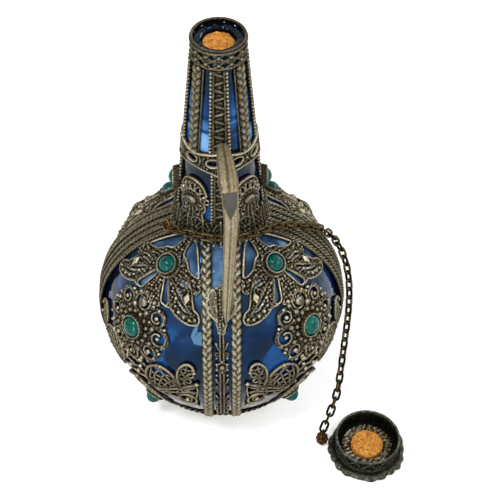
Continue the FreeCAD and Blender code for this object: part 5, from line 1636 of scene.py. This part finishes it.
HANDLE_LINE = [
    (1.0, -13.9, 147.0),
    (1.5, -19.0, 147.4),
    (2.2, -25.5, 147.3),
    (3.0, -32.0, 145.8),
    (3.6, -36.4, 141.6),
    (3.85, -37.9, 135.0),
    (3.9, -38.2, 129.5),
    (3.4, -39.0, 117.0),
    (2.9, -39.9, 105.0),
    (2.3, -40.9, 92.0),
    (1.8, -42.4, 78.2),
]
HANDLE_HALF_WIDTH = [1.6, 2.7, 3.3, 3.7, 3.0, 2.8, 2.65, 2.5, 2.3, 2.0, 1.0]
HANDLE_HALF_DEPTH = [2.0, 2.2, 2.3, 2.5, 2.5, 2.4, 2.3, 2.2, 2.1, 1.9, 1.0]
# flutes: place across the face, width and depth
HANDLE_FLUTES = [(0.0, 0.14, 0.26), (0.5, 0.12, 0.1), (-0.88, 0.09, 0.2), (0.88, 0.09, 0.16)]
# the shield's start and length as shares of the handle, and its half width across the face
SHIELD_START, SHIELD_LENGTH, SHIELD_HALF_WIDTH = 0.36, 0.16, 0.82
# the power that squares the handle's round section
SECTION_POWER = 0.75


def add_handle():
    """A bar along a line from the neck over the elbow down to the ball: a rounded section with lengthwise
    flutes darkened as painted shade, and below the elbow a plain shield-shaped facet on its face, painted
    darkest as a face in shade."""
    line = spline(HANDLE_LINE, per=10)
    share = np.linspace(0, 1, len(line))
    knots = np.linspace(0, 1, len(HANDLE_LINE))
    half_width = np.interp(share, knots, HANDLE_HALF_WIDTH)[:, None]
    half_depth = np.interp(share, knots, HANDLE_HALF_DEPTH)[:, None]
    along = unit(np.gradient(line, axis=0))
    side = square_to(np.broadcast_to([1.0, 0, 0], line.shape), along)
    face = np.cross(along, side)
    count = 96
    angle = np.arange(count)[None, :] * 2 * np.pi / count
    across, proud = (np.sign(wave) * np.abs(wave) ** SECTION_POWER for wave in (np.cos(angle), np.sin(angle)))
    ends = np.clip(np.minimum(share, 1 - share) / 0.03, 0.25, 1)[:, None]
    on_face = np.clip(proud * 1.6, 0, 1)
    flutes = 0.0
    for place, width, depth in HANDLE_FLUTES:
        flutes = flutes - depth * np.exp(-((across - place) / width) ** 2) * on_face
    shield_share = (share[:, None] - SHIELD_START) / SHIELD_LENGTH
    shield_width = SHIELD_HALF_WIDTH * np.clip((1 - shield_share) / 0.55, 0, 1)
    shaded_shield = (shield_share > 0) & (shield_share < 1) & (np.abs(across) < shield_width) & (proud > 0.3)
    flutes = np.where(shaded_shield, -0.2, flutes)
    points = (line[:, None] + side[:, None] * (across * half_width * ends)[..., None]
              + face[:, None] * ((proud * half_depth + flutes) * ends)[..., None])
    faces = [grid_faces(len(line), count, close_columns=True)]
    ring = np.arange(count)
    faces += [ring[None], (ring + (len(line) - 1) * count)[None, ::-1]]
    tongue = np.clip((SHIELD_START - share[:, None]) / 0.02, 0, 1)
    # painted shade: the shield facet darkest, each flute darker by its depth, the face a little lighter, the
    # arm above the shield a little darker
    painted_light_and_wear = np.where(shaded_shield, 0.0, 0.5 + 1.5 * flutes + 0.1 * on_face - 0.16 * tongue)
    add_piece("fluted_handle", Shape(points, faces, painted_light_and_wear), pale_silver, "pale_silver", ["handle"])


add_handle()


# Corks and cap

CAP_FLOOR = 3.0
CAP_COLUMNS, ZIGZAG_TEETH = 416, 13
# steps of the wall's profile that lie on its outside, and on its outside and rim
WALL_STEPS, RIM_STEPS = 26, 31
LUG_HALF_WIDTH, LUG_HALF_HEIGHT, LUG_MIDDLE = 2.5, 3.6, 3.75
# the lug's middle stands this far outside its hole
LUG_OFFSET = 0.15
CAP_CORK_RADIUS, CAP_CORK_TOP = 7.0, 5.7
NECK_CORK_RADIUS, NECK_CORK_FOOT, NECK_CORK_TOP = 6.0, 166.0, 183.9


def rough_disc(radius, low, high, seed, columns=72):
    """A cork's plug: straight sides and an uneven top, turned from the foot up and in to the middle."""
    side = [(radius * 0.97, low), (radius, low + 0.3), (radius, (low + high) / 2), (radius, high - 0.9),
            (radius * 0.985, high - 0.45), (radius * 0.94, high - 0.15)]
    top = [(radius * share, high) for share in np.linspace(0.86, 0.03, 16)]
    plug = lathe([(0.3, low)] + side + top, columns, closed=False)
    shake = lumps(plug.points, 2.2, seed) * 0.16 + lumps(plug.points, 0.9, seed + 1) * 0.1
    rim = np.clip((plug.points[:, 2] - low - 0.2) / 0.4, 0, 1)
    plug.points[:, 2] += shake * rim
    plug.points[:, :2] *= (1 + 0.012 * shake * rim)[:, None]
    return plug


def cap_flange():
    """A thick lumpy rim: a round edge swollen into slanting rope-like lobes, over a flat underside."""
    profile = [(AXIS_GAP, 0.0), (14.5, 0.0), (15.6, 0.15), (16.2, 0.7), (16.35, 1.5), (16.1, 2.3),
               (15.3, 2.9), (14.4, 3.05), (12.5, CAP_FLOOR), (AXIS_GAP, CAP_FLOOR)]

    def lobes(angle, step):
        edge = np.interp(step, [0, 1, 2, 3, 4, 5, 6, 7, 9], [0, 0.1, 0.7, 1, 1, 1, 0.8, 0.3, 0])
        wave = np.abs(np.cos(10 * angle + 0.3 * step + 0.5 * np.sin(3 * angle))) - 0.5
        return edge * (0.7 * wave * (1 + 0.6 * np.cos(3 * angle + 0.4)) + 0.3 * np.cos(7 * angle + 1.0))

    # painted shade on the underside and where the rim meets the wall, painted highlight and wear on its
    # rounded edge
    painted_light_and_wear = np.array([0.0, 0.1, 0.2, 0.35, 0.45, 0.5, 0.4, 0.15, 0.1, 0.1])
    rim = lathe(profile, 288, lobes, closed=False, painted_light_and_wear=painted_light_and_wear)
    edge = np.clip(np.hypot(rim.points[:, 0], rim.points[:, 1]) / 3 - 4.4, 0, 1) * (rim.points[:, 2] > 0.4)
    rim.points[:, 2] += 0.22 * edge * lumps(rim.points, 3.0, 61)
    rim.painted_light_and_wear += 0.12 * edge * lumps(rim.points, 2.0, 62)
    return rim


def cap_skirt():
    """The cap's wall: a thin tube with a rolled rim and a raised zigzag of leaves under it."""
    outside = np.linspace((13.75, CAP_FLOOR), (13.75, 9.9), WALL_STEPS)
    rim = [(13.95, 10.1), (13.85, 10.45), (13.45, 10.55), (13.05, 10.4), (12.95, 10.0)]
    inside = [(12.95, 8.0), (12.9, 5.5), (12.95, CAP_FLOOR)]
    profile = np.concatenate([outside, rim, inside])

    def zigzag(angle, step):
        height = np.interp(step, np.arange(len(profile)), profile[:, 1])
        fold = np.abs((angle * ZIGZAG_TEETH / np.pi) % 2 - 1)
        band = np.clip((height - 4.6) / 0.5, 0, 1) * np.clip((9.6 - height) / 0.4, 0, 1) * (step < WALL_STEPS)
        line = np.abs((height - 5.2) / 3.8 - fold)
        ripple = 0.2 * np.cos(angle * ZIGZAG_TEETH * 4) * (line > 0.3)
        return band * (0.42 * np.clip(1 - line / 0.22, 0, 1) + ripple - 0.3)

    wall = lathe(profile, CAP_COLUMNS, zigzag)
    radius = np.hypot(wall.points[:, 0], wall.points[:, 1])
    step = np.tile(np.arange(len(profile)), CAP_COLUMNS)
    # painted highlight and wear on the rolled rim and the raised zigzag, painted shade in the hollows between
    # and inside the wall
    wall.painted_light_and_wear = np.where(step < RIM_STEPS, 0.55, 0.14)
    wall.painted_light_and_wear = np.where(step < WALL_STEPS, 0.25 + 1.1 * (radius - 13.6), wall.painted_light_and_wear)
    wall.painted_light_and_wear += 0.1 * lumps(wall.points, 2.4, 66)
    return wall


def cap_liner():
    """A crusty raised ring round the cork."""
    profile = [(10.6, CAP_FLOOR), (10.7, 3.6), (10.3, 4.1), (9.3, 4.35), (8.2, 4.2), (7.4, 3.9),
               (7.1, CAP_FLOOR)]
    ring = lathe(profile, 200)
    shake = lumps(ring.points, 1.8, 71) * 0.45 + lumps(ring.points, 0.8, 72) * 0.25
    lift = np.clip((ring.points[:, 2] - 3.05) / 0.6, 0, 1)
    ring.points[:, 2] += shake * lift
    # painted highlight on the crust's lumps and painted shade in its dips
    ring.painted_light_and_wear = 0.42 + 0.7 * shake * lift
    return ring


def lug_bead():
    """A grape-like lug: an upright oval covered with rows of grains."""
    rows, columns = 30, 44
    tilt = np.linspace(-0.985, 0.985, rows)[None, :] * np.pi / 2
    angle = np.arange(columns)[:, None] * 2 * np.pi / columns
    grain = 1 + 0.13 * np.cos(6 * angle + np.pi * np.round(tilt / 0.5)) * np.abs(np.cos(tilt * 6.3))
    radius = LUG_HALF_WIDTH * np.cos(tilt) * grain
    outward = LUG_REACH + LUG_OFFSET + radius * np.cos(angle)
    height = LUG_MIDDLE + LUG_HALF_HEIGHT * np.sin(tilt)
    points = np.stack(np.broadcast_arrays(outward, radius * np.sin(angle), height), -1)
    ring = np.arange(columns) * rows
    faces = [grid_faces(columns, rows, close_rows=True), ring[None, ::-1], (ring + rows - 1)[None]]
    # painted highlight on the grains and painted shade between them
    return Shape(points, faces, 0.2 + 3.0 * (grain - 1))


def add_cap():
    """The cap on the table with its crust, cork and lug, and the cork in the neck."""
    stub = rough_disc(CAP_CORK_RADIUS, CAP_FLOOR, CAP_CORK_TOP, 81)
    pieces = [
        ("cap_rim", cap_flange().turned(LUG_ANGLE), pewter, "dark_pewter", "cap_flange"),
        ("cap_wall", cap_skirt(), pewter, "dark_pewter", "cap_skirt"),
        ("cap_crust", cap_liner(), cap_crust, "dark_pewter", "cap_liner"),
        ("cap_plug", stub, cork, "cork", "cap_cork"),
        ("cap_grape", lug_bead().turned(LUG_ANGLE), rust, "rusty_lug", "cap_lug"),
    ]
    for name, shape, material, slot, node in pieces:
        add_piece(name, shape.moved(CAP_X, CAP_Y, 0), material, slot, [node], body="cap")
    plug = rough_disc(NECK_CORK_RADIUS, NECK_CORK_FOOT, NECK_CORK_TOP, 91)
    add_piece("mouth_plug", plug, cork, "cork", ["neck_cork"], body="cork")


add_cap()
